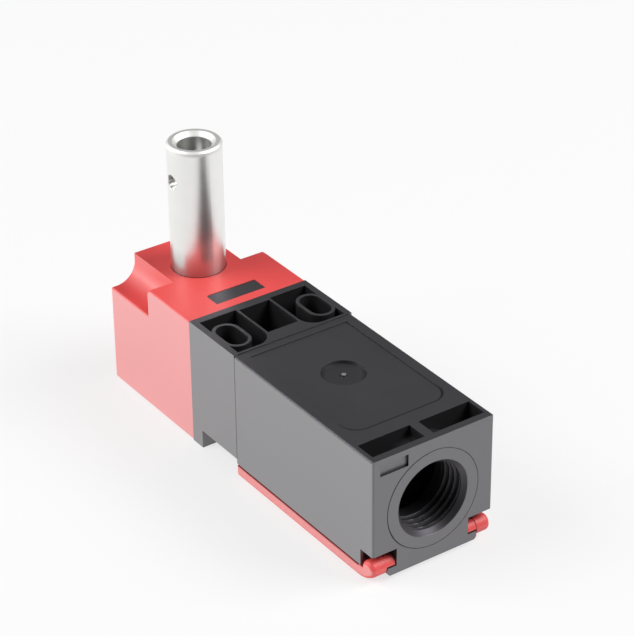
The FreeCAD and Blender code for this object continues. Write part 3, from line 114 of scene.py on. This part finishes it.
class Finish:
    """A surface finish: its shader, and the nodes that make it vary over the surface."""

    def __init__(self, name, slot):
        self.slot = slot
        self.material = bpy.data.materials.new(name)
        self.material.use_nodes = True
        self.tree = self.material.node_tree
        self.tree.nodes.clear()
        self.place = self.node("ShaderNodeTexCoord", output="Object")

    def node(self, kind, settings={}, inputs={}, output=0):
        """Any node: its type, its settings, then the values or links of its sockets."""
        made = self.tree.nodes.new(kind)
        for name, value in settings.items():
            if name == "stops":
                stops = made.color_ramp.elements
                while len(stops) < len(value):
                    stops.new(0.5)
                for stop, (position, shade) in zip(stops, value):
                    stop.position = position
                    stop.color = (shade, shade, shade, 1)
            else:
                setattr(made, name, value)
        for name, value in inputs.items():
            if isinstance(value, Socket):
                self.tree.links.new(value.link, made.inputs[name])
            else:
                made.inputs[name].default_value = value
        return Socket(self, made.outputs[output])

    def coordinate(self, axis, vector=None):
        """One coordinate of the place on the switch, in metres, or of another vector."""
        return self.node("ShaderNodeSeparateXYZ", {}, {0: vector or self.place}, axis)

    def noise(self, size, detail=2.0, stretch=None):
        """Cloudy variation from 0 to 1, with clouds about so many millimetres across."""
        place = self.place
        if stretch:
            place = self.node("ShaderNodeVectorMath", {"operation": "MULTIPLY"}, {0: place, 1: stretch})
        inputs = {"Vector": place, "Scale": 1 / (size * mm), "Detail": detail}
        return self.node("ShaderNodeTexNoise", {}, inputs)

    def ramp(self, value, *stops):
        """A number that follows another one between stops, each a value and what it gives."""
        return self.node("ShaderNodeValToRGB", {"stops": stops}, {0: value})

    def blend(self, share, first, second):
        """A colour between two colours."""
        inputs = {0: share}
        for key, colour in ((6, first), (7, second)):
            inputs[key] = colour if isinstance(colour, Socket) else (*colour, 1)
        return self.node("ShaderNodeMix", {"data_type": "RGBA"}, inputs, 2)

    def edges(self, radius):
        """The surface direction with every edge rounded by so many millimetres."""
        return self.node("ShaderNodeBevel", {"samples": 6}, {"Radius": radius * mm})

    def nearness_to_edges(self, rounded):
        """How near an edge a point is: 0 on open faces, more where the rounded direction turns away."""
        flat = self.node("ShaderNodeNewGeometry", output="Normal")
        turn = self.node("ShaderNodeVectorMath", {"operation": "DOT_PRODUCT"}, {0: rounded, 1: flat}, "Value")
        return self.ramp(1 - turn, (0.0, 0.0), (0.25, 1.0))

    def bump(self, height, depth, direction):
        """A relief of so many millimetres over the rounded direction."""
        inputs = {"Height": height, "Distance": depth * mm, "Normal": direction}
        return self.node("ShaderNodeBump", {}, inputs)

    def shade(self, shadow=None, **sockets):
        """Closes the finish: base_color sets the shader's Base Color, and so on.

        The shadow is painted shade: the share by which the surface falls to near-black, as deep moulded
        hollows look in shade."""
        inputs = {}
        for name, value in sockets.items():
            words = name.replace("_", " ").title().replace("Ior", "IOR")
            if words.endswith("Color") and not isinstance(value, Socket):
                value = (*value, 1)
            inputs[words] = value
        shader = self.node("ShaderNodeBsdfPrincipled", {}, inputs)
        if shadow:
            # Painted shade: a near-black diffuse, mixed in by the shadow share.
            unlit = self.node("ShaderNodeBsdfDiffuse", {}, {"Color": (0.004, 0.004, 0.004, 1)})
            shader = self.node("ShaderNodeMixShader", {}, {0: shadow, 1: shader, 2: unlit})
        self.surface(shader)
        return self

    def surface(self, shader):
        """Makes a shader the surface of the finish."""
        surface = self.tree.nodes.new("ShaderNodeOutputMaterial")
        self.tree.links.new(shader.link, surface.inputs["Surface"])

    def dress(self, *names):
        """Gives the finish to solids of the frame."""
        for name in names:
            cad[name].data.materials.clear()
            cad[name].data.materials.append(self.material)


def moulding(name, slot, dark, light, roughness, level, coat, grain=0.012, coat_ior=2.65, end_coat=0.5,
             tint=(1.0, 1.0, 1.0, 1.0), edge=0.06, marks=None):
    """A moulded plastic: cloudy colour, spark-eroded grain, edges rubbed a little smoother, and a painted
    highlight that lightens its edges.

    Its long sides are the glossiest, then its ends, and its back and underside are the most matt. Its
    marks are a function that gives its painted shade, its painted highlights and its faces without gloss."""
    finish = Finish(name, slot)
    rounded = finish.edges(edge)
    facing = finish.node("ShaderNodeTexCoord", output="Normal")
    sideways, lengthways, upward = [abs(finish.coordinate(axis, facing)) for axis in "YXZ"]
    gloss = finish.ramp(sideways, (0.6, 0.0), (0.98, coat))
    gloss = gloss + finish.ramp(lengthways, (0.4, 0.0), (0.95, min(coat, end_coat)))
    gloss = gloss * finish.ramp(upward, (0.08, 1.0), (0.35, 0.0))
    edge_nearness = finish.nearness_to_edges(rounded)
    clouds = finish.noise(size=11, detail=3.0)
    fine = finish.noise(size=0.22, detail=3.0)
    flow = finish.noise(size=5.0, stretch=(0.25, 1.0, 1.0))
    colour = finish.blend(clouds * 0.6 + flow * 0.4, dark, light)
    # Painted highlight: near the edges the colour is lifted towards a lighter grey.
    painted_edge_highlight = tuple(min(1.0, value * 1.25 + 0.012) for value in light)
    colour = finish.blend(edge_nearness * 0.35, colour, painted_edge_highlight)
    shadow = None
    if marks:
        shadow, white, matt = marks(finish)
        # The second mark is a painted highlight, mixed in as a lighter grey.
        colour = finish.blend(white, colour, (0.4, 0.4, 0.4))
        gloss = gloss * (1 - matt)
    rough = roughness + (clouds - 0.5) * 0.06 + (fine - 0.5) * 0.1 - edge_nearness * 0.06
    relief = finish.bump(fine * 0.8 + flow * 0.5, grain, rounded)
    return finish.shade(shadow=shadow, base_color=colour, roughness=rough, specular_ior_level=level,
                        specular_tint=tint, coat_weight=gloss, coat_roughness=0.42, coat_ior=coat_ior,
                        normal=relief)


# The places, in millimetres, where the case's outer faces start and its front flange ends
back_start = 27.55
end_start = 45.4
side_start = 13.3
flange_top = 4.2

# The round bush in the end wall, and half the width of the joint line round it
bush_face = 46.0
bush_height = 14.5
joint_radius = 10.6
joint_half_width = 0.12

# The dish in the back with its gate mark, and the rim of the label field round it
dish_middle = 17.5
dish_radius = 4.637
gate_radius = 0.49
gate_floor = 27.1
label_corner_x = 32.2
label_corner_y = 7.7
label_radius = 3.75
label_half_width = 0.25

# How far the painted shade of the marks falls to black
line_shadow = 0.85
hollow_shadow = 0.5


def case_marks(finish):
    """Painted shade in the case's hollows and lines, a painted highlight on its gate mark, and its faces
    without gloss.
    """
    x, y, z = [finish.coordinate(axis) / mm for axis in "XYZ"]
    facing = finish.node("ShaderNodeTexCoord", output="Normal")
    back_face = (z > back_start) * (finish.coordinate("Z", facing) > 0.97)
    end_face = (x > end_start) * (finish.coordinate("X", facing) > 0.2)
    outer = back_face.larger(abs(y) > side_start).larger(end_face).larger(z < flange_top)
    # The dish is shallow, so its painted shade is lighter than in the other hollows.
    from_dish = (x - dish_middle) ** 2 + y * y
    hollow = (1 - outer) * (1 - 0.6 * (from_dish < dish_radius ** 2))
    # Painted shade in the joint line round the bush is darkest at its left, and fades out towards its right.
    rise = z - bush_height
    joint = abs((y * y + rise * rise) ** 0.5 - joint_radius) < joint_half_width
    leftness = (10 - y + rise * 0.6) / 20
    joint = joint * (x > bush_face - 0.1) * finish.ramp(leftness, (0.5, 0.0), (0.8, 0.8))
    # A painted shadow line along the rim of the label field is darkest at its conduit end.
    past_x = (x - label_corner_x).larger(0.0)
    past_y = (abs(y) - label_corner_y).larger(0.0)
    label = abs((past_x * past_x + past_y * past_y) ** 0.5 - label_radius) < label_half_width
    label = label * back_face * finish.ramp(x / bush_face, (0.68, 0.0), (0.74, 0.7))
    # Painted highlight: the top of the gate nub is coloured lighter grey.
    painted_gate_highlight = (from_dish < gate_radius ** 2) * (z > gate_floor) * 0.6
    # All of these marks are painted shade, mixed towards black.
    shadow = (label.larger(joint) * line_shadow).larger(hollow * hollow_shadow)
    return shadow, painted_gate_highlight, hollow


nylon = {"dark": (0.022, 0.022, 0.023), "light": (0.034, 0.034, 0.036), "roughness": 0.46, "level": 1.0,
         "coat": 1.0, "tint": (0.94, 0.88, 1.0, 1.0), "edge": 0.03}
black = moulding("black_nylon", "black_body", **nylon, marks=case_marks)
black.dress("housing")


# Conduit bush
# A round threaded bush, moulded in the same black nylon and set flush in the end wall.
# Its M16 x 1.5 thread starts behind a bevelled mouth and runs out before the bore's inner end.

def piece(name, points, faces, body, finish, smooth=35):
    """A new part of the switch from its points in millimetres and its faces."""
    mesh = bpy.data.meshes.new(name)
    mesh.from_pydata([Vector(point) * mm for point in points], [], faces)
    made = bpy.data.objects.new(name, mesh)
    bpy.context.scene.collection.objects.link(made)
    work = bmesh.new()
    work.from_mesh(mesh)
    bmesh.ops.recalc_face_normals(work, faces=work.faces)
    work.to_mesh(mesh)
    work.free()
    mesh.shade_smooth()
    mesh.set_sharp_from_angle(angle=math.radians(smooth))
    mesh.materials.append(finish.material)
    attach(made, body)
    return made


def skin(rings, closed=False):
    """Points and faces of a skin over rings that have the same number of points."""
    count = len(rings[0])
    points = [point for ring in rings for point in ring]
    faces = []
    last = len(rings) if closed else len(rings) - 1
    for row in range(last):
        below = row * count
        above = (row + 1) % len(rings) * count
        for step in range(count):
            after = (step + 1) % count
            faces.append((below + step, below + after, above + after, above + step))
    return points, faces


def thread_depth(turn):
    """Share of a thread's depth at a share of its pitch, with the flats of a metric thread."""
    turn = turn % 1.0
    if turn < 0.25:
        return 0.0
    if turn < 0.5625:
        return (turn - 0.25) / 0.3125
    if turn < 0.6875:
        return 1.0
    return (1.0 - turn) / 0.3125


bush_back = 37.0
bush_radius = 10.5
bush_bevel = 0.06
mouth_radius = 8.15
mouth_slope = 0.9
thread_pitch = 1.5
thread_crest = 7.188
thread_root = 8.0
thread_start = 1.1
thread_runin = 0.5
thread_length = 6.9
thread_runout = 0.9
bush_steps = 120
bore_rows = 96


def bore_radius(depth, share):
    """The bore's radius at a depth and at a share of a turn: the bevelled mouth, then the thread."""
    groove = thread_depth(depth / thread_pitch + share)
    groove *= min(max((thread_length - depth) / thread_runout, 0.0), 1.0)
    groove *= min(max((depth - thread_start) / thread_runin, 0.0), 1.0)
    return max(thread_crest + (thread_root - thread_crest) * groove, mouth_radius - mouth_slope * depth)


def bush_ring(x, radii):
    """A round of the bush, from its radius at each step."""
    ring = []
    for step, radius in enumerate(radii):
        angle = 2 * math.pi * step / bush_steps
        ring.append((x, radius * math.cos(angle), bush_height + radius * math.sin(angle)))
    return ring


bush_outside = [(bush_back, bush_radius), (bush_face - bush_bevel, bush_radius),
                (bush_face, bush_radius - bush_bevel), (bush_face, mouth_radius + 0.05)]
bush_rings = [bush_ring(x, [radius] * bush_steps) for x, radius in bush_outside]
for row in range(bore_rows + 1):
    depth = (bush_face - bush_back) * row / bore_rows
    radii = [bore_radius(depth, step / bush_steps) for step in range(bush_steps)]
    bush_rings.append(bush_ring(bush_face - depth, radii))
bush_points, bush_faces = skin(bush_rings, closed=True)


def bush_marks(finish):
    """The bore has no gloss and painted shade darkens it, most low on its right, and the bush has no painted
    highlight.
    """
    x, y, z = [finish.coordinate(axis) / mm for axis in "XYZ"]
    bore = bush_face - x > 0.1
    low_right = (y - z + bush_height) / 10
    # Painted shade in the bore, strongest low on its right.
    shadow = bore * finish.ramp(low_right, (0.3, 0.0), (0.9, 0.5))
    return shadow, 0.0, bore


bush_nylon = moulding("bush_nylon", "black_bush", **nylon, marks=bush_marks)
bush = piece("threaded_bush", bush_points, bush_faces, "case", bush_nylon, 28)
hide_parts("conduit_bush")


# Head
# The head is moulded in signal red, is notched at two corners, and holds the shaft and its cam.
# Two snap tongues of the black case lock it, and one of them ends in the head's window.

head_side = 13.5
head_end = -45.5


def head_marks(finish):
    """The notches' walls are less glossy than the sides, and the head has no painted shade or painted
    highlight.
    """
    inside_sides = abs(finish.coordinate("Y")) < head_side * mm
    inside_end = finish.coordinate("X") > head_end * mm
    return None, 0.0, inside_sides * inside_end * 0.8


red = moulding("red_plastic", "red_head", (0.74, 0.062, 0.06), (0.82, 0.078, 0.074), roughness=0.46,
               level=1.0, coat=1.0, coat_ior=3.5, end_coat=0.4, marks=head_marks)
red.dress("head_housing")


# Operating shaft
# A hollow shaft turned from stainless bar, cross-drilled near its top for a pin, turns in the head.
# Fine lines run round it, its end is faced a little rougher, and painted shade darkens its foot.

def turned_steel(name, slot, tint, roughness, lines, axis="Z", faced=None, foot=None):
    """Turned metal: fine rings round an axis, soft stains and brighter edges.

    Where asked for, its end is faced rougher above a height, and painted shade darkens it just above its
    foot, fading upwards."""
    finish = Finish(name, slot)
    rounded = finish.edges(0.12)
    edge_nearness = finish.nearness_to_edges(rounded)
    along = finish.coordinate(axis)
    rings = finish.node("ShaderNodeTexNoise", {"noise_dimensions": "1D"},
                        {"W": along / (lines * mm), "Scale": 1.0, "Detail": 3.0, "Roughness": 0.7})
    stain = finish.noise(size=4.0, detail=3.0)
    colour = finish.blend(stain * 0.5 + rings * 0.5, tint, tuple(value * 0.86 for value in tint))
    rough = roughness + (rings - 0.5) * 0.16 + (stain - 0.5) * 0.06 - edge_nearness * 0.08
    if faced:
        rough = rough + 0.3 * (along > faced * mm)
    if foot:
        # Painted shade: the colour darkens towards the foot.
        foot_shade_height = 6.0
        painted_foot_shade = finish.ramp((along / mm - foot) / foot_shade_height, (0.0, 0.55), (1.0, 0.0))
        colour = finish.blend(painted_foot_shade, colour, (0.1, 0.09, 0.09))
    relief = finish.bump(rings, 0.004, rounded)
    return finish.shade(base_color=colour, metallic=1.0, roughness=rough, normal=relief)


shaft_steel = turned_steel("turned_stainless", "shaft_steel", (0.93, 0.93, 0.91), roughness=0.32,
                           lines=0.09, faced=55.4, foot=28)
shaft_steel.dress("operating_shaft")


# Shaft bearings, seal and clip
# Two sintered bronze bushes carry the shaft, a rubber ring keeps dust out above them,
# and an open ring of spring steel in the shaft's groove holds it down.

bronze = turned_steel("sintered_bronze", "bearing", (0.62, 0.42, 0.2), roughness=0.42, lines=0.16)
bronze.dress("shaft_bush", "shaft_foot_bush")

rubber = moulding("black_rubber", "seal_rubber", (0.012, 0.012, 0.012), (0.022, 0.022, 0.021),
                  roughness=0.7, level=0.4, coat=0.0, grain=0.02)
rubber.dress("shaft_seal", "plunger_seal", "lid_gasket")

spring_steel = turned_steel("spring_wire", "spring_steel", (0.62, 0.62, 0.63), roughness=0.26, lines=0.2)
spring_steel.dress("shaft_clip")


# Cam and its pin
# The heart-shaped cam is moulded in natural acetal and pinned through the shaft.
# As the shaft turns, its rising edge pushes the plunger along the case.

acetal = moulding("natural_acetal", "cam_plastic", (0.72, 0.7, 0.62), (0.82, 0.8, 0.73),
                  roughness=0.36, level=0.5, coat=0.15, grain=0.006)
acetal.dress("cam")

ground_steel = turned_steel("ground_steel", "pin_steel", (0.58, 0.58, 0.59), roughness=0.2, lines=0.12,
                            axis="Y")
ground_steel.dress("cam_pin")


# Plunger and return spring
# A ball-nosed rod of ground stainless steel runs from the cam to the contact block.
# A round-wire spring between its collar and the block pushes it back.

rod_steel = turned_steel("ground_rod", "plunger_steel", (0.68, 0.68, 0.69), roughness=0.18, lines=0.1,
                         axis="X")
rod_steel.dress("plunger")

plunger_height = 14.0
end_turn = 0.75
turn_steps = 28
wire_sides = 10


def coil(start, end, across, wire, turns):
    """Points and faces of a wire spring along the switch, with a closed turn at each end."""
    radius = (across - wire) / 2
    first = start + wire / 2
    climb = end - start - wire - 2 * end_turn * wire
    steps = int(turns * turn_steps)
    rings = []
    for step in range(steps + 1):
        turn = turns * step / steps
        x = first + min(turn, end_turn) * wire
        x += climb * min(max((turn - end_turn) / (turns - 2 * end_turn), 0.0), 1.0)
        x += max(turn - (turns - end_turn), 0.0) * wire
        angle = 2 * math.pi * turn
        ring = []
        for side in range(wire_sides):
            swing = 2 * math.pi * side / wire_sides
            reach = radius + wire / 2 * math.cos(swing)
            ring.append((x + wire / 2 * math.sin(swing), reach * math.cos(angle),
                         plunger_height + reach * math.sin(angle)))
        rings.append(ring)
    points, faces = skin(rings)
    faces.append(tuple(range(wire_sides)))
    faces.append(tuple(range(len(points) - wire_sides, len(points))))
    return points, faces


spring_start = -0.8
spring_end = 8.8
return_points, return_faces = coil(spring_start, spring_end, across=8.9, wire=0.7, turns=6.5)
return_wire = piece("return_spring_wire", return_points, return_faces, "case", spring_steel)
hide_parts("return_spring")
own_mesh(return_wire)


# Contact block
# A dark thermoset block fills the chamber, with walls between its six terminals.
# A strip closes the carrier's channel, and two cross-head screws hold the block to the case.

thermoset = moulding("dark_thermoset", "block_plastic", (0.03, 0.03, 0.031), (0.045, 0.045, 0.046),
                     roughness=0.55, level=0.5, coat=0.0, grain=0.01)
thermoset.dress("contact_block_base", "contact_block_cover")

zinc = turned_steel("zinc_plating", "zinc_screws", (0.66, 0.66, 0.62), roughness=0.28, lines=0.3)

# Steps round a screw, and rows to each turn of its thread
screw_steps = 40
screw_rows = 7

# The thread's pitch as a share of the shank, and its depth as a share of the pitch
screw_pitch = 0.18
screw_thread = 0.55

# The rounding of the head in millimetres, then the width of a recess arm as a share of its length and
# the size of the recess at its bottom as a share of its mouth
head_round = 0.35
arm_width = 0.34
recess_taper = 0.62


def screw_ring(x, y, z, radii):
    """A round of a screw, from its radius at each step."""
    ring = []
    for step, radius in enumerate(radii):
        angle = 2 * math.pi * step / screw_steps
        ring.append((x + radius * math.cos(angle), y + radius * math.sin(angle), z))
    return ring


def cross_screw(x, y, face, seat, end, head, shank, arm, depth):
    """Points and faces of a screw that looks down: rounded head, cross recess and coarse thread."""
    profile = [(head / 2 - head_round, face), (head / 2 - 0.1, face + 0.12), (head / 2, face + head_round),
               (head / 2, seat - 0.1), (head / 2 - 0.1, seat), (shank / 2, seat)]
    rings = [screw_ring(x, y, z, [radius] * screw_steps) for radius, z in profile]
    pitch = shank * screw_pitch
    root = shank / 2 - pitch * screw_thread
    rows = int((end - seat) / pitch * screw_rows)
    for row in range(rows + 1):
        z = seat + (end - seat) * row / rows
        taper = min(1.0, (end - z) / (pitch * 1.2) + 0.25)
        radii = []
        for step in range(screw_steps):
            height = thread_depth((z - seat) / pitch + step / screw_steps)
            radii.append(root + (shank / 2 - root) * height * taper)
        rings.append(screw_ring(x, y, z, radii))
    points, faces = skin(rings)
    faces.append(tuple(range(len(points) - screw_steps, len(points))))
    # The recess, from its mouth in the head's face down to its bottom
    half = arm * arm_width / 2
    cross = [(arm, half), (half, half), (half, arm), (-half, arm), (-half, half), (-arm, half),
             (-arm, -half), (-half, -half), (-half, -arm), (half, -arm), (half, -half), (arm, -half)]
    corners = len(cross)
    mouth = len(points)
    points += [(x + a, y + b, face) for a, b in cross]
    bottom = len(points)
    points += [(x + a * recess_taper, y + b * recess_taper, face + depth) for a, b in cross]
    for step in range(corners):
        after = (step + 1) % corners
        faces.append((mouth + step, mouth + after, bottom + after, bottom + step))
    faces.append(tuple(range(bottom, bottom + corners)))
    # The flat of the head between its rim and the recess, a quarter at a time
    quarter_steps = screw_steps // 4
    for quarter in range(4):
        rim = [(quarter * quarter_steps + step) % screw_steps for step in range(quarter_steps + 1)]
        inner = [mouth + (quarter * 3 + step) % corners for step in (3, 2, 1, 0)]
        faces.append(tuple(rim + inner))
    return points, faces


def screw_set(name, centres, body, finish, node, **sizes):
    """Like screws as one piece, in place of a node."""
    points = []
    faces = []
    for x, y in centres:
        more, fresh = cross_screw(x, y, **sizes)
        faces += [tuple(corner + len(points) for corner in face) for face in fresh]
        points += more
    made = piece(name, points, faces, body, finish, 30)
    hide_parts(node)


screw_set("block_fixing_screws", [(23.1, 8.2), (23.1, -8.2)], "case", zinc, "contact_block_screws",
          face=7.4, seat=9.0, end=24.0, head=3.8, shank=2.5, arm=1.05, depth=0.9)


# Contact carrier, bridges and springs
# An off-white bar slides in the block and carries three brass bridges with silver tips.
# A small spring in each window presses its bridge to the fixed contacts.

off_white = moulding("off_white", "carrier_plastic", (0.74, 0.72, 0.66), (0.83, 0.81, 0.76),
                     roughness=0.38, level=0.5, coat=0.1, grain=0.006)
off_white.dress("contact_carrier")

tip_spread = 10.4
tip_radius = 1.02
brass = Finish("stamped_brass", "contact_brass")
brass_rounded = brass.edges(0.08)
aside = (abs(brass.coordinate("Y")) / mm - tip_spread / 2) ** 2
aloft = (brass.coordinate("Z") / mm - plunger_height) ** 2
silver = aside + aloft < tip_radius ** 2
brass_stain = brass.noise(size=1.6, detail=4.0)
brass_lines = brass.noise(size=0.3, stretch=(1.0, 0.15, 1.0))
brass_colour = brass.blend(brass_stain, (0.68, 0.46, 0.17), (0.8, 0.6, 0.27))
brass_colour = brass.blend(silver, brass_colour, (0.86, 0.85, 0.82))
brass.shade(base_color=brass_colour, metallic=1.0, roughness=0.24 + brass_stain * 0.14 + silver * 0.08,
            normal=brass.bump(brass_lines, 0.004, brass_rounded))
brass.dress("contact_bridges", "closed_contacts", "open_contacts")

for name, start, end in (("first", 12.25, 15.05), ("second", 18.05, 20.85), ("third", 22.6, 25.4)):
    bridge_points, bridge_faces = coil(start, end, across=2.6, wire=0.35, turns=5)
    wire = piece(f"bridge_spring_{name}", bridge_points, bridge_faces, "push_rod", spring_steel)
    if name == "first":
        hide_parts("bridge_springs")


# Terminals
# Each terminal has a cross-head screw through a ribbed square clamp, both zinc plated.
# They face the cover, so that wires from the conduit reach them with the cover open.

rib_spacing = 0.55
clamp = Finish("ribbed_plate", "clamp_steel")
clamp_rounded = clamp.edges(0.1)
clamp_turn = clamp.coordinate("X") / (rib_spacing * mm) * 2 * math.pi
clamp_ribs = clamp_turn.maths("SINE", clamp_turn)
clamp_stain = clamp.noise(size=1.2, detail=3.0)
clamp_colour = clamp.blend(clamp_stain, (0.58, 0.58, 0.54), (0.7, 0.7, 0.67))
clamp.shade(base_color=clamp_colour, metallic=1.0, roughness=0.3 + clamp_stain * 0.12,
            normal=clamp.bump(clamp_ribs, 0.05, clamp_rounded))
clamp.dress("terminal_clamps")

terminal_places = [(x, side * 8.2) for x in (12.2, 18.0, 28.2) for side in (1, -1)]
screw_set("terminal_cross_screws", terminal_places, "case", zinc, "terminal_screws",
          face=5.2, seat=7.2, end=12.8, head=4.6, shank=3.0, arm=1.3, depth=1.1)


# Terminal cover
# A red cover closes the terminal chamber, and turns on two barrels at the conduit end.
# A rubber ring seals it, and one captive stainless screw holds its free end in a brass insert.

rim_start = 2.3
barrel_start = 41.5


def cover_marks(finish):
    """Painted shadow darkens the upper rim under the gap to the case, and the cover has no painted highlight.
    """
    above = finish.coordinate("Z") / mm - rim_start
    short_of_barrels = finish.coordinate("X") < barrel_start * mm
    # Painted shadow along the upper rim, short of the barrels.
    rim = finish.ramp(above, (0.0, 0.0), (0.35, 0.7)) * short_of_barrels
    return rim, 0.0, rim


red_cover = moulding("red_cover_plastic", "red_lid", (0.75, 0.062, 0.06), (0.83, 0.08, 0.075), roughness=0.5,
                     level=0.7, coat=1.0, coat_ior=3.0, end_coat=0.15, edge=0.3, marks=cover_marks)
red_cover.dress("lid")

stainless = turned_steel("stainless_screw", "lid_screw_steel", (0.72, 0.72, 0.72), roughness=0.22,
                         lines=0.25)
screw_set("cover_screw", [(4.3, 0.0)], "cover", stainless, "lid_screw",
          face=0.2, seat=1.5, end=7.6, head=5.5, shank=3.0, arm=1.6, depth=0.95)

polyamide = moulding("natural_polyamide", "ring_plastic", (0.68, 0.66, 0.6), (0.78, 0.76, 0.7),
                     roughness=0.4, level=0.5, coat=0.1, grain=0.006)
polyamide.dress("lid_screw_ring")

knurl_spacing = 0.5
insert = Finish("knurled_brass", "insert_brass")
insert_rounded = insert.edges(0.08)
first_slant = insert.coordinate("Y") + insert.coordinate("Z")
second_slant = insert.coordinate("Y") - insert.coordinate("Z")
first_cut = first_slant.maths("PINGPONG", first_slant, knurl_spacing / 2 * mm)
second_cut = second_slant.maths("PINGPONG", second_slant, knurl_spacing / 2 * mm)
insert_stain = insert.noise(size=1.0, detail=3.0)
insert_colour = insert.blend(insert_stain, (0.7, 0.5, 0.2), (0.8, 0.6, 0.28))
insert_relief = insert.bump((first_cut + second_cut) / (knurl_spacing * mm), 0.12, insert_rounded)
insert.shade(base_color=insert_colour, metallic=1.0, roughness=0.26 + insert_stain * 0.1,
             normal=insert_relief)
insert.dress("lid_screw_insert")


# Studio
# The switch lies on a plain white surface, under two large soft lamps high on either side and a low one
# at its left. The room round them is dim, so that the case's back shows little glare.

floor_corners = [(-3, -3, 0), (3, -3, 0), (3, 3, 0), (-3, 3, 0)]
floor_mesh = bpy.data.meshes.new("floor")
floor_mesh.from_pydata(floor_corners, [], [(0, 1, 2, 3)])
floor = bpy.data.objects.new("floor", floor_mesh)
bpy.context.scene.collection.objects.link(floor)
floor.location.z = solid_box[0].z - 0.02 * mm
paper = Finish("white_paper", "")
paper_colour = paper.blend(paper.noise(size=0.8, detail=3.0), (0.9, 0.9, 0.9), (0.92, 0.92, 0.92))
paper_diffuse = paper.node("ShaderNodeBsdfDiffuse", {}, {"Color": paper_colour})
paper_glow = paper.node("ShaderNodeEmission", {}, {"Color": (0.955, 0.955, 0.955, 1), "Strength": 1.0})
seen = paper.node("ShaderNodeLightPath", output="Is Camera Ray")
mirrored = paper.node("ShaderNodeLightPath", output="Is Glossy Ray")
through = paper.node("ShaderNodeLightPath", output="Is Transmission Ray")
share = seen.larger(mirrored.larger(through))
paper.surface(paper.node("ShaderNodeMixShader", {}, {0: share * 0.75, 1: paper_diffuse, 2: paper_glow}))
floor_mesh.materials.append(paper.material)

world = bpy.data.worlds.new("studio")
bpy.context.scene.world = world
world.use_nodes = True
backdrop = world.node_tree.nodes["Background"]
backdrop.inputs["Color"].default_value = (1, 1, 1, 1)
backdrop.inputs["Strength"].default_value = 0.15


def softbox(name, place, aim, width, height, power):
    """A large square lamp at a place, turned to a point, in metres and watts."""
    lamp = bpy.data.lights.new(name, "AREA")
    lamp.shape = "RECTANGLE"
    lamp.size = width
    lamp.size_y = height
    lamp.energy = power
    holder = bpy.data.objects.new(name, lamp)
    bpy.context.scene.collection.objects.link(holder)
    holder.location = place
    holder.rotation_euler = (Vector(place) - Vector(aim)).to_track_quat("Z", "Y").to_euler()


switch_middle = (0, 0, 0.02)
softbox("left_lamp", (-0.36, -0.77, 0.85), switch_middle, width=0.8, height=0.6, power=9)
softbox("right_lamp", (0.55, 0.65, 0.85), switch_middle, width=0.8, height=0.6, power=12.2)
softbox("low_lamp", (-0.85, -0.8, 0.15), switch_middle, width=0.8, height=0.3, power=5)

# The camera stands where the photograph was taken: above the conduit end, to the left.
right = Vector((0.57442, 0.818508, -0.009263))
up = Vector((-0.412328, 0.299106, 0.860536))
back = Vector((0.707126, -0.49049, 0.509306))
stand = Vector((0.345479, -0.233581, 0.278057))
camera_data = bpy.data.cameras.new("camera")
camera_data.lens = 140.552
camera_data.sensor_width = 36
camera = bpy.data.objects.new("camera", camera_data)
bpy.context.scene.collection.objects.link(camera)
camera.matrix_world = Matrix.Translation(stand) @ Matrix((right, up, back)).transposed().to_4x4()
bpy.context.scene.camera = camera
bpy.context.scene.view_settings.view_transform = "Standard"
